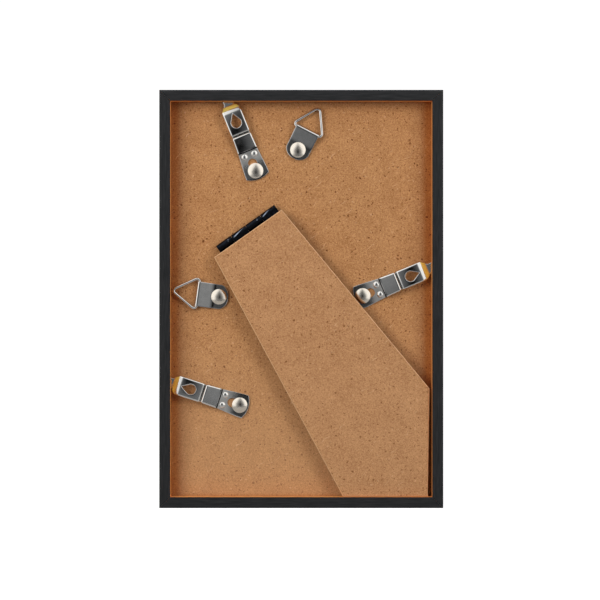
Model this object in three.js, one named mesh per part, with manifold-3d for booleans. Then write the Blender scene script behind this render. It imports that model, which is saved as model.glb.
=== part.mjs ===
// Photo frame for a 10 x 15 cm print, with an easel strut, sprung turn clips and two hangers.
// Sizes are millimetres and angles degrees. The frame is put together lying on its face: x runs to
// the right and y up as seen from the back, z from the front face to the back. The last group stands
// it up: +Z up, the back towards -Y, the origin under the middle of the bottom rail.

import * as THREE from "three";
import { mergeVertices } from "three/addons/utils/BufferGeometryUtils.js";
import Module from "manifold-3d";

const wasm = await Module();
wasm.setup();

// Frame moulding
const rebateWidth = 102; // between the rebate walls
const rebateHeight = 154;
const wallThickness = 4; // the band seen from the back
const lipThickness = 3; // front lip that the pane lies on
const lipOverlap = 4.5; // how far the lip reaches in over the pane
const recessDepth = 7.35; // from the rails' back down to the panel
const backEdgeRadius = 0.7;
const rimEdgeRadius = 0.3; // back edge on the rebate side
const frontEdgeRadius = 1.2;
const sightEdgeRadius = 0.8; // front edge round the picture
const mitreGap = 0.06; // glue line, measured along a rail
const grooveHeight = 1.4; // slot in the rebate wall for the clip tips

// V-shaped nails across the mitres, sunk in the rebate wall
const nailWing = 3.4;
const nailThickness = 0.5;
const nailHeight = 4;
const nailSink = 0.5; // below the rails' back
const nailFit = 0.15;

// Pane, card and panel, laid on the lip in this order
const paneThickness = 1.6;
const cardThickness = 0.4;
const panelThickness = 2.5;
const layGap = 0.05; // between two layers
const layClearance = 0.12; // to the rebate walls
const paneChamfer = 0.2;
const panelChamfer = 0.1;

// Seating of the metal parts
const seatGap = 0.1; // between a part and the face that it lies on
const rivetFit = 0.2; // round a shank in its hole
const tailThickness = 0.7; // clinched end of a rivet, in a counterbore at the panel's front
const tailFlare = 0.9; // beyond the shank
const tailSink = 0.1; // below the panel's front

// Domed rivets of the clips and hangers
const rivetHead = 6;
const rivetDome = 1.4;
const rivetShank = 3;
const rivetRim = 0.25; // upright edge of the head

// Spring clips, measured from the rivet towards the tip
const clipSheet = 0.6;
const clipBaseWidth = 9.2; // at the rivet
const clipStepWidth = 7.7;
const clipLeafWidth = 7.2;
const clipTipWidth = 3.5;
const clipTailReach = 3.5; // rivet to the curved end
const clipTailCorner = 2.2; // rivet to the corners of that end
const clipStepAt = 8.3; // where the sheet leaves the panel
const clipStepRise = 1.1;
const clipStepRun = 0.6;
const clipCreaseAt = 14.3;
const clipCreaseWidth = 1.6;
const clipCreaseDepth = 0.9;
const clipCreaseRise = 2.3; // height of the leaf before the crease
const clipLeafRise = 2.9; // height of the leaf after the crease
const clipNeck = 2.8; // sloping stretch between leaf and tip
const clipTip = 1.9; // flat end
const clipTipRise = 1.4;
const clipBendRun = 0.45; // half the length of a bend
const clipTravel = 3.2; // slide on the rivet
const slotFit = 0.28; // round the shank in the clip's slot
const dimpleAt = 6.5;
const dimpleSpacing = 4.1;
const dimpleDiameter = 2.3;
const dimpleHeight = 0.55;
const dropRadius = 2.1; // drop-shaped hole in the leaf
const dropLength = 6.1;
const dropInset = 1.3; // from the point to the bend
const clipSetback = 27; // rivet to rebate wall
const clipTilt = 22; // of the top clip, from square to its wall
const topClipGrip = 0.8; // how deep the middle of a tip goes under the wall
const rightClipGrip = 0.7;
const leftClipGrip = 1.5;
const topClipX = -17.8;
const rightClipY = 1.2;
const leftClipY = -41.4;
const grooveClearance = 0.3; // past the deepest corner of a tip

// Hangers: a strap folded round a wire ring, measured from the rivet towards the fold
const strapSheet = 0.4; // one layer of two
const strapWidth = 9.5; // at the fold
const strapEndWidth = 9.4; // at the rivet
const strapEndReach = 3.6;
const strapReach = 9.2; // rivet to the outside of the fold
const strapFoldTurn = 170; // where the fold leaves its circle
const strapFoldRun = 0.5; // along the flat, for the end of the fold
const wireDiameter = 1.1;
const wireFit = 0.2; // round the wire in the fold
const wireGap = 0.6; // between the wire's two ends
const ringWidth = 12.5; // over the wire
const ringReach = 10.2; // fold's middle to the outside of the point
const ringBend = 1.2; // radius of the wire's middle line
const hangerSetback = 18.9; // rivet to rebate wall
const topHangerX = -1.3;
const leftHangerY = 0.85;
const topHangerTilt = -27; // anticlockwise from square to the wall
const leftHangerTilt = -8;

// Easel strut, hung from its slanting top edge
const strutThickness = 2.5;
const strutTopX = -20.7; // middle of the top edge, from the panel's middle
const strutTopY = 25.4;
const strutTopWidth = 32;
const strutTurn = 35.3; // rise of the top edge
const strutLeftFlare = 7;
const strutRightFlare = 4.3;
const strutFootClearance = 0.4; // to the lower rebate wall
const strutSideClearance = 1.25; // to the right rebate wall, at the upper corner
const strutSideLean = 1;
const strutChamfer = 0.25;

// Hinge: two stamped leaves with two knuckles each
const leafSheet = 0.6;
const leafReach = 13; // from the pin
const leafCorner = 2;
const hingeLength = 27.8;
const hingeShift = 0.9; // from the middle of the strut's top edge
const hingeOut = 0.35; // from the strut's top edge to the barrel
const barrelDiameter = 3;
const knuckleGap = 0.14; // between neighbouring knuckles
const notchFit = 0.3; // round a knuckle in the other leaf's notch
const pinFit = 0.2;
const hingeRivetHead = 4;
const hingeRivetDome = 0.7;
const hingeRivetShank = 2;
const hingeRivetSpacing = 15;
const hingeRivetAt = 8; // from the pin
const prongWidth = 2;
const prongPoint = 0.6;
const prongHeight = 1.5;
const prongSpacing = 18;
const prongInset = 2; // from the leaf's end
const prongFit = 0.2;

// Faces of round stretches
const roundFaces = 20; // of a turned body
const arcFaces = 10; // of one arc in an outline
const barrelFaces = 16;
const wireFaces = 8;
const wireSteps = 54;
const edgeFaces = 4;
const bendFaces = 2;

// Sizes that follow from these
const knuckles = 4;
const outerWidth = rebateWidth + 2 * wallThickness;
const outerHeight = rebateHeight + 2 * wallThickness;
const paneZ = lipThickness + layGap;
const cardZ = paneZ + paneThickness + layGap;
const panelZ = cardZ + cardThickness + layGap;
const panelBackZ = panelZ + panelThickness;
const frameDepth = panelBackZ + recessDepth;
const clipReach = (clipSetback + topClipGrip) / Math.cos(radians(clipTilt));
const clipBendAt = clipReach - clipTip - clipNeck;
const tipMiddleZ = panelBackZ + seatGap + clipTipRise + clipSheet / 2;
const barrelRadius = barrelDiameter / 2;
const foldRadius = wireDiameter / 2 + wireFit + strapSheet;
const foldAt = strapReach - foldRadius;
const overCut = 1; // how far a cutter runs past what it cuts

const railFoil = new THREE.MeshStandardMaterial({ color: 0x2c2c2c, roughness: 0.6, metalness: 0 });
const panelBoard = new THREE.MeshStandardMaterial({ color: 0xb07e55, roughness: 0.8, metalness: 0 });
const strutBoard = new THREE.MeshStandardMaterial({ color: 0xb2885f, roughness: 0.8, metalness: 0 });
const nickelSteel = new THREE.MeshStandardMaterial({ color: 0xc9c9c6, roughness: 0.2, metalness: 1 });
const blackSteel = new THREE.MeshStandardMaterial({ color: 0x141518, roughness: 0.35, metalness: 0.2 });
const plainSteel = new THREE.MeshStandardMaterial({ color: 0x8d8f92, roughness: 0.4, metalness: 1 });
const clearPane = new THREE.MeshStandardMaterial({ color: 0xe6f0ee, roughness: 0.05, metalness: 0 });
const blankCard = new THREE.MeshStandardMaterial({ color: 0xf2f0ea, roughness: 0.9, metalness: 0 });

function radians(degrees) {
  return (degrees * Math.PI) / 180;
}

function direction(degrees) {
  return new THREE.Vector2(Math.cos(radians(degrees)), Math.sin(radians(degrees)));
}

// Where the line from a along direction u crosses the line from b along direction v.
function crossing(a, u, b, v) {
  const apart = b.clone().sub(a);
  return a.clone().addScaledVector(u, apart.cross(v) / u.cross(v));
}

function solidOf(geometry) {
  const bare = geometry.clone();
  bare.deleteAttribute("normal");
  bare.deleteAttribute("uv");
  const merged = mergeVertices(bare, 1e-4);
  return new wasm.Manifold(
    new wasm.Mesh({
      numProp: 3,
      vertProperties: new Float32Array(merged.attributes.position.array),
      triVerts: new Uint32Array(merged.index.array),
    }),
  );
}

function geometryOf(solid) {
  const mesh = solid.getMesh();
  const geometry = new THREE.BufferGeometry();
  geometry.setAttribute("position", new THREE.BufferAttribute(mesh.vertProperties, 3));
  geometry.setIndex(new THREE.BufferAttribute(mesh.triVerts, 1));
  geometry.computeVertexNormals();
  return geometry;
}

function named(name, geometry, material) {
  const mesh = new THREE.Mesh(geometry, material);
  mesh.name = name;
  return mesh;
}

function rectangle(width, height) {
  return polygon([
    [-width / 2, -height / 2],
    [width / 2, -height / 2],
    [width / 2, height / 2],
    [-width / 2, height / 2],
  ]);
}

function polygon(corners) {
  return new THREE.Shape(corners.map(([x, y]) => new THREE.Vector2(x, y)));
}

// A board of the given outline, standing on z = 0, with chamfered edges.
function board(outline, thickness, chamfer) {
  return new THREE.ExtrudeGeometry(outline, {
    depth: thickness - 2 * chamfer,
    bevelThickness: chamfer,
    bevelSize: chamfer,
    bevelOffset: -chamfer,
    bevelSegments: 1,
  }).translate(0, 0, chamfer);
}

// A straight prism of a plan outline between two heights.
function prism(outline, fromZ, toZ) {
  return new THREE.ExtrudeGeometry(outline, {
    depth: toZ - fromZ,
    bevelEnabled: false,
    curveSegments: arcFaces / 2,
  }).translate(0, 0, fromZ);
}

// A side view in (y, z), run across x and centred there.
function acrossX(section, width, faces) {
  const sideways = new THREE.Matrix4().makeBasis(
    new THREE.Vector3(0, 1, 0),
    new THREE.Vector3(0, 0, 1),
    new THREE.Vector3(1, 0, 0),
  );
  return new THREE.ExtrudeGeometry(section, {
    depth: width,
    bevelEnabled: false,
    curveSegments: faces,
  })
    .translate(0, 0, -width / 2)
    .applyMatrix4(sideways);
}

// A turned body: profile points are (radius, height) from the bottom of the axis to its top.
function turned(profile) {
  return new THREE.LatheGeometry(profile, roundFaces).rotateX(Math.PI / 2);
}

function cylinder(radius, fromZ, toZ) {
  const profile = [
    new THREE.Vector2(0, fromZ),
    new THREE.Vector2(radius, fromZ),
    new THREE.Vector2(radius, toZ),
    new THREE.Vector2(0, toZ),
  ];
  return turned(profile);
}

// Rails

function clipTiltFor(grip) {
  return (Math.acos((clipSetback + grip) / clipReach) * 180) / Math.PI;
}

function grooveDepth() {
  const cornerGrip = (grip) => grip + (clipTipWidth / 2) * Math.sin(radians(clipTiltFor(grip)));
  return Math.max(...[topClipGrip, rightClipGrip, leftClipGrip].map(cornerGrip)) + grooveClearance;
}

// Moulding section: x is the distance in from the outer edge, y the height above the front face.
function railSection() {
  const lipWidth = wallThickness + lipOverlap;
  const grooveBottom = wallThickness - grooveDepth();
  const section = new THREE.Shape();
  section.moveTo(frontEdgeRadius, 0);
  section.lineTo(lipWidth - sightEdgeRadius, 0);
  section.absarc(lipWidth - sightEdgeRadius, sightEdgeRadius, sightEdgeRadius, -Math.PI / 2, 0);
  section.lineTo(lipWidth, lipThickness);
  section.lineTo(wallThickness, lipThickness);
  section.lineTo(wallThickness, tipMiddleZ - grooveHeight / 2);
  section.lineTo(grooveBottom, tipMiddleZ - grooveHeight / 2);
  section.lineTo(grooveBottom, tipMiddleZ + grooveHeight / 2);
  section.lineTo(wallThickness, tipMiddleZ + grooveHeight / 2);
  section.lineTo(wallThickness, frameDepth - rimEdgeRadius);
  section.absarc(wallThickness - rimEdgeRadius, frameDepth - rimEdgeRadius, rimEdgeRadius, 0, Math.PI / 2);
  section.lineTo(backEdgeRadius, frameDepth);
  section.absarc(backEdgeRadius, frameDepth - backEdgeRadius, backEdgeRadius, Math.PI / 2, Math.PI);
  section.lineTo(0, frontEdgeRadius);
  section.absarc(frontEdgeRadius, frontEdgeRadius, frontEdgeRadius, Math.PI, 1.5 * Math.PI);
  return section;
}

// One nail seen from above, its corner on the mitre: one wing along -x, one along -y.
function nailOutline(clearance) {
  const half = nailThickness / 2 + clearance;
  const end = nailWing + clearance;
  return polygon([
    [half, half],
    [-end, half],
    [-end, -half],
    [-half, -half],
    [-half, -end],
    [half, -end],
  ]);
}

function nailSolid(clearance) {
  const top = frameDepth - nailSink;
  return prism(nailOutline(clearance), top - nailHeight - clearance, top + clearance);
}

// A rail with its outer edge on y = 0 and its middle at x = 0, both ends cut to 45 degrees.
function railGeometry(length) {
  const geometry = new THREE.ExtrudeGeometry(railSection(), {
    depth: 1,
    bevelEnabled: false,
    curveSegments: edgeFaces,
  });
  const points = geometry.attributes.position;
  for (let i = 0; i < points.count; i += 1) {
    const inward = points.getX(i);
    const height = points.getY(i);
    const end = points.getZ(i) < 0.5 ? 1 : -1;
    points.setXYZ(i, end * (length / 2 - inward - mitreGap / 2), -inward, height);
  }
  const rightPocket = nailSolid(nailFit).translate(length / 2 - wallThickness / 2, -wallThickness / 2, 0);
  const leftPocket = nailSolid(nailFit)
    .rotateZ(Math.PI / 2)
    .translate(-length / 2 + wallThickness / 2, -wallThickness / 2, 0);
  return geometryOf(solidOf(geometry).subtract(solidOf(rightPocket)).subtract(solidOf(leftPocket)));
}

function rails() {
  const group = new THREE.Group();
  const sides = [
    { name: "top", length: outerWidth, turn: 0, reach: outerHeight / 2 },
    { name: "left", length: outerHeight, turn: 90, reach: outerWidth / 2 },
    { name: "bottom", length: outerWidth, turn: 180, reach: outerHeight / 2 },
    { name: "right", length: outerHeight, turn: 270, reach: outerWidth / 2 },
  ];
  for (const side of sides) {
    const rail = named(`frame_rail_${side.name}`, railGeometry(side.length), railFoil);
    const outward = direction(side.turn + 90).multiplyScalar(side.reach);
    rail.position.set(outward.x, outward.y, 0);
    rail.rotation.z = radians(side.turn);
    group.add(rail);
  }
  const corners = [
    { name: "top_right", x: 1, y: 1, turn: 0 },
    { name: "top_left", x: -1, y: 1, turn: 90 },
    { name: "bottom_left", x: -1, y: -1, turn: 180 },
    { name: "bottom_right", x: 1, y: -1, turn: 270 },
  ];
  for (const corner of corners) {
    const nail = named(`corner_nail_${corner.name}`, nailSolid(0), plainSteel);
    const x = corner.x * (outerWidth - wallThickness) / 2;
    const y = corner.y * (outerHeight - wallThickness) / 2;
    nail.position.set(x, y, 0);
    nail.rotation.z = radians(corner.turn);
    group.add(nail);
  }
  return group;
}

// Rivets: z = 0 is the panel's back face, the head above it and the clinched tail below

function rivetGeometry(head, dome, shank, grip) {
  const tailZ = -panelThickness + tailSink;
  const cap = dome - rivetRim;
  const capRadius = (head * head / 4 + cap * cap) / (2 * cap);
  const profile = new THREE.Path();
  profile.moveTo(0, tailZ);
  profile.lineTo(shank / 2 + tailFlare, tailZ);
  profile.lineTo(shank / 2 + tailFlare, tailZ + tailThickness / 2);
  profile.lineTo(shank / 2, tailZ + tailThickness);
  profile.lineTo(shank / 2, grip);
  profile.lineTo(head / 2, grip);
  profile.lineTo(head / 2, grip + rivetRim);
  profile.absarc(0, grip + dome - capRadius, capRadius, Math.acos(head / 2 / capRadius), Math.PI / 2);
  return turned(profile.getPoints(bendFaces + 1));
}

// The hole that such a rivet needs in the panel.
function rivetHole(shank) {
  const radius = shank / 2 + rivetFit;
  const shoulderZ = -panelThickness + tailSink + tailThickness + seatGap;
  const bore = cylinder(radius, -panelThickness - overCut, overCut);
  const counterbore = cylinder(radius + tailFlare + rivetFit, -panelThickness - overCut, shoulderZ);
  return solidOf(bore).add(solidOf(counterbore));
}

// Spring clips

const clips = [
  {
    name: "top",
    x: topClipX,
    y: rebateHeight / 2 - clipSetback,
    points: 90 + clipTiltFor(topClipGrip),
  },
  {
    name: "right",
    x: rebateWidth / 2 - clipSetback,
    y: rightClipY,
    points: clipTiltFor(rightClipGrip),
  },
  {
    name: "left",
    x: clipSetback - rebateWidth / 2,
    y: leftClipY,
    points: 180 - clipTiltFor(leftClipGrip),
  },
];

// Middle line of the bent sheet: (distance from the rivet, height above the panel).
function clipRoute() {
  const baseZ = seatGap + clipSheet / 2;
  const corners = [
    [clipStepAt, baseZ],
    [clipStepAt + clipStepRun, baseZ + clipStepRise],
    [clipCreaseAt, baseZ + clipCreaseRise],
    [clipCreaseAt + clipCreaseWidth / 2, baseZ + clipCreaseRise - clipCreaseDepth],
    [clipCreaseAt + clipCreaseWidth, baseZ + clipLeafRise],
    [clipBendAt, baseZ + clipLeafRise],
    [clipBendAt + clipNeck, baseZ + clipTipRise],
    [clipReach + overCut, baseZ + clipTipRise],
  ].map(([along, height]) => new THREE.Vector2(along, height));
  const route = new THREE.Path();
  route.moveTo(-clipTailReach - overCut, baseZ);
  let before = new THREE.Vector2(-clipTailReach - overCut, baseZ);
  for (let i = 0; i < corners.length - 1; i += 1) {
    const corner = corners[i];
    const after = corners[i + 1];
    const inRun = Math.min(clipBendRun, corner.distanceTo(before) / 2);
    const outRun = Math.min(clipBendRun, corner.distanceTo(after) / 2);
    const start = corner.clone().addScaledVector(before.clone().sub(corner).normalize(), inRun);
    const end = corner.clone().addScaledVector(after.clone().sub(corner).normalize(), outRun);
    route.lineTo(start.x, start.y);
    route.quadraticCurveTo(corner.x, corner.y, end.x, end.y);
    before = corner;
  }
  const last = corners[corners.length - 1];
  route.lineTo(last.x, last.y);
  return route.getPoints(bendFaces);
}

// Side view of a sheet bent along its middle line.
function sheetSection(route, sheet) {
  const edge = (side) =>
    route.map((point, i) => {
      const before = route[Math.max(i - 1, 0)];
      const after = route[Math.min(i + 1, route.length - 1)];
      const arriving = (i > 0 ? point.clone().sub(before) : after.clone().sub(point)).normalize();
      const leaving = (i < route.length - 1 ? after.clone().sub(point) : arriving.clone()).normalize();
      const along = arriving.clone().add(leaving).normalize();
      const normal = new THREE.Vector2(-along.y, along.x);
      const spread = sheet / 2 / along.dot(arriving);
      return point.clone().addScaledVector(normal, side * spread);
    });
  return new THREE.Shape([...edge(-1), ...edge(1).reverse()]);
}

function clipOutline() {
  const outline = new THREE.Shape();
  const neckFoot = clipBendAt + clipNeck;
  outline.moveTo(-clipBaseWidth / 2, -clipTailCorner);
  outline.quadraticCurveTo(0, clipTailCorner - 2 * clipTailReach, clipBaseWidth / 2, -clipTailCorner);
  outline.lineTo(clipBaseWidth / 2, 0);
  outline.lineTo(clipStepWidth / 2, clipStepAt);
  outline.lineTo(clipLeafWidth / 2, clipCreaseAt);
  outline.lineTo(clipLeafWidth / 2, clipBendAt);
  outline.lineTo(clipTipWidth / 2, neckFoot);
  outline.lineTo(clipTipWidth / 2, clipReach);
  outline.lineTo(-clipTipWidth / 2, clipReach);
  outline.lineTo(-clipTipWidth / 2, neckFoot);
  outline.lineTo(-clipLeafWidth / 2, clipBendAt);
  outline.lineTo(-clipLeafWidth / 2, clipCreaseAt);
  outline.lineTo(-clipStepWidth / 2, clipStepAt);
  outline.lineTo(-clipBaseWidth / 2, 0);
  const slotRadius = rivetShank / 2 + slotFit;
  const slot = new THREE.Path();
  slot.moveTo(slotRadius, 0);
  slot.absarc(0, clipTravel, slotRadius, 0, Math.PI);
  slot.absarc(0, 0, slotRadius, Math.PI, 2 * Math.PI);
  const pointAt = clipBendAt - dropInset;
  const roundAt = pointAt - dropLength + dropRadius;
  const tangent = Math.acos(dropRadius / (pointAt - roundAt));
  const drop = new THREE.Path();
  drop.moveTo(0, pointAt);
  drop.absarc(0, roundAt, dropRadius, Math.PI / 2 + tangent, 2.5 * Math.PI - tangent);
  outline.holes.push(slot, drop);
  return outline;
}

// A dimple pressed up from the sheet: the same dome is added above and taken away below.
function dimple() {
  const baseTop = seatGap + clipSheet;
  const profile = new THREE.Path();
  profile.moveTo(0, baseTop - clipSheet / 2);
  profile.lineTo(dimpleDiameter / 2, baseTop - clipSheet / 2);
  profile.lineTo(dimpleDiameter / 2, baseTop);
  profile.absellipse(0, baseTop, dimpleDiameter / 2, dimpleHeight, 0, Math.PI / 2);
  return turned(profile.getPoints(bendFaces));
}

function clipGeometry() {
  const sheet = acrossX(sheetSection(clipRoute(), clipSheet), clipBaseWidth + 2 * overCut, bendFaces);
  const plan = prism(clipOutline(), -overCut, recessDepth);
  let clip = solidOf(sheet).intersect(solidOf(plan));
  for (const side of [-1, 1]) {
    const dome = dimple().translate((side * dimpleSpacing) / 2, dimpleAt, 0);
    const hollow = dome.clone().translate(0, 0, -clipSheet);
    clip = clip.add(solidOf(dome)).subtract(solidOf(hollow));
  }
  return geometryOf(clip);
}

function springClips() {
  const group = new THREE.Group();
  for (const clip of clips) {
    const station = new THREE.Group();
    const grip = clipSheet + 2 * seatGap;
    station.add(named(`spring_clip_${clip.name}`, clipGeometry(), nickelSteel));
    const rivet = rivetGeometry(rivetHead, rivetDome, rivetShank, grip);
    station.add(named(`clip_rivet_${clip.name}`, rivet, nickelSteel));
    station.position.set(clip.x, clip.y, 0);
    station.rotation.z = radians(clip.points - 90);
    group.add(station);
  }
  return group;
}

// Hangers

const hangers = [
  { name: "top", x: topHangerX, y: rebateHeight / 2 - hangerSetback, points: 90 + topHangerTilt },
  { name: "left", x: hangerSetback - rebateWidth / 2, y: leftHangerY, points: 180 + leftHangerTilt },
];

// Side view of the strap: two layers lying together, opened at the fold for the wire.
function strapSection() {
  const flat = 2 * strapSheet;
  const turn = radians(strapFoldTurn);
  const leaveY = foldAt + foldRadius * Math.cos(turn);
  const leaveZ = foldRadius + foldRadius * Math.sin(turn);
  const creaseY = leaveY - (leaveZ - flat) * Math.tan(Math.PI - turn);
  const section = new THREE.Shape();
  section.moveTo(-strapEndReach - overCut, 0);
  section.lineTo(foldAt, 0);
  section.absarc(foldAt, foldRadius, foldRadius, -Math.PI / 2, turn);
  section.quadraticCurveTo(creaseY, flat, creaseY - strapFoldRun, flat);
  section.lineTo(-strapEndReach - overCut, flat);
  const eye = new THREE.Path();
  eye.absarc(foldAt, foldRadius, wireDiameter / 2 + wireFit, 0, 2 * Math.PI);
  section.holes.push(eye);
  return section;
}

function strapGeometry() {
  const outline = new THREE.Shape();
  outline.moveTo(-strapEndWidth / 2, 0);
  outline.absellipse(0, 0, strapEndWidth / 2, strapEndReach, Math.PI, 2 * Math.PI);
  outline.lineTo(strapWidth / 2, foldAt);
  outline.lineTo(strapWidth / 2, strapReach + overCut);
  outline.lineTo(-strapWidth / 2, strapReach + overCut);
  outline.lineTo(-strapWidth / 2, foldAt);
  const hole = new THREE.Path();
  hole.absarc(0, 0, rivetShank / 2 + rivetFit, 0, 2 * Math.PI);
  outline.holes.push(hole);
  const folded = acrossX(strapSection(), strapWidth + 2 * overCut, arcFaces / 2);
  const plan = prism(outline, -overCut, recessDepth);
  return geometryOf(solidOf(folded).intersect(solidOf(plan))).translate(0, 0, seatGap);
}

// Middle line of the ring: a rounded triangle whose base lies in the fold, open in the base.
class RingWire extends THREE.Curve {
  constructor() {
    super();
    const cornerX = ringWidth / 2 - wireDiameter / 2 - ringBend;
    const pointY = ringReach - wireDiameter / 2 - ringBend;
    const lean = Math.atan2(cornerX, pointY - ringBend);
    this.path = new THREE.Path();
    this.path.moveTo(wireGap / 2, 0);
    this.path.lineTo(cornerX, 0);
    this.path.absarc(cornerX, ringBend, ringBend, -Math.PI / 2, lean);
    this.path.absarc(0, pointY, ringBend, lean, Math.PI - lean);
    this.path.absarc(-cornerX, ringBend, ringBend, Math.PI - lean, 1.5 * Math.PI);
    this.path.lineTo(-wireGap / 2, 0);
  }

  getPoint(t) {
    const point = this.path.getPointAt(t);
    return new THREE.Vector3(point.x, point.y, 0);
  }
}

function ringGeometry() {
  const section = new THREE.Shape();
  section.absarc(0, 0, wireDiameter / 2, 0, 2 * Math.PI);
  return new THREE.ExtrudeGeometry(section, {
    extrudePath: new RingWire(),
    steps: wireSteps,
    curveSegments: wireFaces / 2,
    bevelEnabled: false,
  }).translate(0, foldAt, seatGap + foldRadius);
}

function hangerSets() {
  const group = new THREE.Group();
  for (const hanger of hangers) {
    const station = new THREE.Group();
    const grip = 2 * strapSheet + 2 * seatGap;
    station.add(named(`hanger_strap_${hanger.name}`, strapGeometry(), nickelSteel));
    station.add(named(`hanger_ring_${hanger.name}`, ringGeometry(), nickelSteel));
    const rivet = rivetGeometry(rivetHead, rivetDome, rivetShank, grip);
    station.add(named(`hanger_rivet_${hanger.name}`, rivet, nickelSteel));
    station.position.set(hanger.x, hanger.y, 0);
    station.rotation.z = radians(hanger.points - 90);
    group.add(station);
  }
  return group;
}

// Hinge: x runs along the pin, -y towards the strut's foot, z = 0 is the panel's back face

const strutTop = new THREE.Vector2(strutTopX, strutTopY);
const strutUp = direction(strutTurn + 90);
const hingePlace = strutTop
  .clone()
  .addScaledVector(strutUp, hingeOut + barrelRadius)
  .addScaledVector(direction(strutTurn), hingeShift);

// A leaf lying on z = 0 with its barrel rolled up, seen along the pin.
function leafSection() {
  const meets = Math.PI + Math.asin((barrelRadius - leafSheet) / barrelRadius);
  const section = new THREE.Shape();
  section.moveTo(-leafReach, 0);
  section.lineTo(0, 0);
  section.absarc(0, barrelRadius, barrelRadius, -Math.PI / 2, meets);
  section.lineTo(-leafReach, leafSheet);
  const bore = new THREE.Path();
  bore.absarc(0, barrelRadius, barrelRadius - leafSheet, 0, 2 * Math.PI);
  section.holes.push(bore);
  return section;
}

function leafOutline() {
  const half = hingeLength / 2;
  const outline = new THREE.Shape();
  outline.moveTo(half, barrelDiameter);
  outline.lineTo(-half, barrelDiameter);
  outline.lineTo(-half, leafCorner - leafReach);
  outline.absarc(leafCorner - half, leafCorner - leafReach, leafCorner, Math.PI, 1.5 * Math.PI);
  outline.absarc(half - leafCorner, leafCorner - leafReach, leafCorner, 1.5 * Math.PI, 2 * Math.PI);
  return outline;
}

// One stamped leaf. The first and third knuckles stay and the other leaf's two are cut away.
function leafSolid() {
  const rolled = acrossX(leafSection(), hingeLength, barrelFaces / 2);
  const plan = prism(leafOutline(), -overCut, barrelDiameter + overCut);
  let leaf = solidOf(rolled).intersect(solidOf(plan));
  const pitch = hingeLength / knuckles;
  const notchDepth = 2 * barrelDiameter;
  for (let i = 1; i < knuckles; i += 2) {
    const fromX = i * pitch - hingeLength / 2 - knuckleGap / 2;
    const toX = fromX + pitch + knuckleGap + (i === knuckles - 1 ? overCut : 0);
    const notch = new THREE.BoxGeometry(toX - fromX, notchDepth, notchDepth);
    notch.translate((fromX + toX) / 2, notchDepth / 2 - barrelRadius - notchFit, barrelRadius);
    leaf = leaf.subtract(solidOf(notch));
  }
  return leaf;
}

function hingeRivetSpots() {
  return [-1, 1].map((side) => new THREE.Vector2((side * hingeRivetSpacing) / 2, -hingeRivetAt));
}

function prongSpots() {
  return [-1, 1].map((side) => new THREE.Vector2((side * prongSpacing) / 2, prongInset - leafReach));
}

function panelLeafGeometry() {
  let leaf = leafSolid();
  for (const spot of hingeRivetSpots()) {
    const hole = cylinder(hingeRivetShank / 2 + rivetFit, -overCut, leafSheet + overCut);
    leaf = leaf.subtract(solidOf(hole.translate(spot.x, spot.y, 0)));
  }
  return geometryOf(leaf).translate(0, 0, seatGap);
}

// A pointed prong bent up from the leaf's edge into the strut, standing on the leaf's outer face.
function prong() {
  const outline = polygon([
    [-prongWidth / 2, -leafSheet / 2],
    [prongWidth / 2, -leafSheet / 2],
    [prongPoint / 2, prongHeight],
    [-prongPoint / 2, prongHeight],
  ]);
  return new THREE.ExtrudeGeometry(outline, { depth: leafSheet, bevelEnabled: false })
    .translate(0, 0, -leafSheet / 2)
    .rotateX(Math.PI / 2);
}

// The strut's leaf is the same stamping turned over on top of the other one.
function strutLeafGeometry() {
  const turnedOver = geometryOf(leafSolid()).rotateY(Math.PI).translate(0, 0, barrelDiameter);
  let leaf = solidOf(turnedOver);
  for (const spot of prongSpots()) {
    leaf = leaf.add(solidOf(prong().translate(spot.x, spot.y, barrelDiameter)));
  }
  return geometryOf(leaf).translate(0, 0, seatGap);
}

function hinge() {
  const group = new THREE.Group();
  group.add(named("hinge_panel_leaf", panelLeafGeometry(), blackSteel));
  group.add(named("hinge_strut_leaf", strutLeafGeometry(), blackSteel));
  const pinRadius = barrelRadius - leafSheet - pinFit;
  const pin = named("hinge_pin", cylinder(pinRadius, -hingeLength / 2, hingeLength / 2), plainSteel);
  pin.position.z = seatGap + barrelRadius;
  pin.rotation.y = Math.PI / 2;
  group.add(pin);
  const grip = leafSheet + 2 * seatGap;
  hingeRivetSpots().forEach((spot, i) => {
    const rivet = rivetGeometry(hingeRivetHead, hingeRivetDome, hingeRivetShank, grip);
    const place = i === 0 ? "lower" : "upper";
    const mesh = named(`hinge_rivet_${place}`, rivet, plainSteel);
    mesh.position.set(spot.x, spot.y, 0);
    group.add(mesh);
  });
  group.position.set(hingePlace.x, hingePlace.y, 0);
  group.rotation.z = radians(strutTurn);
  return group;
}

function hingeToPanel(spot) {
  return spot.clone().rotateAround(new THREE.Vector2(), radians(strutTurn)).add(hingePlace);
}

// Easel strut: the lower foot is for a portrait picture, the right one for a landscape one

function strutOutline() {
  const edge = direction(strutTurn).multiplyScalar(strutTopWidth / 2);
  const topLeft = strutTop.clone().sub(edge);
  const topRight = strutTop.clone().add(edge);
  const footCorner = new THREE.Vector2(0, strutFootClearance - rebateHeight / 2);
  const sideCorner = new THREE.Vector2(rebateWidth / 2 - strutSideClearance, 0);
  const across = new THREE.Vector2(1, 0);
  const upright = new THREE.Vector2(0, 1);
  const leftEdge = direction(strutTurn - 90 - strutLeftFlare);
  const rightEdge = direction(strutTurn - 90 + strutRightFlare);
  const sideTop = crossing(topRight, rightEdge, sideCorner, upright);
  const sideFoot = crossing(sideTop, direction(-90 - strutSideLean), footCorner, across);
  const leftFoot = crossing(topLeft, leftEdge, footCorner, across);
  return new THREE.Shape([topLeft, leftFoot, sideFoot, sideTop, topRight]);
}

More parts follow.
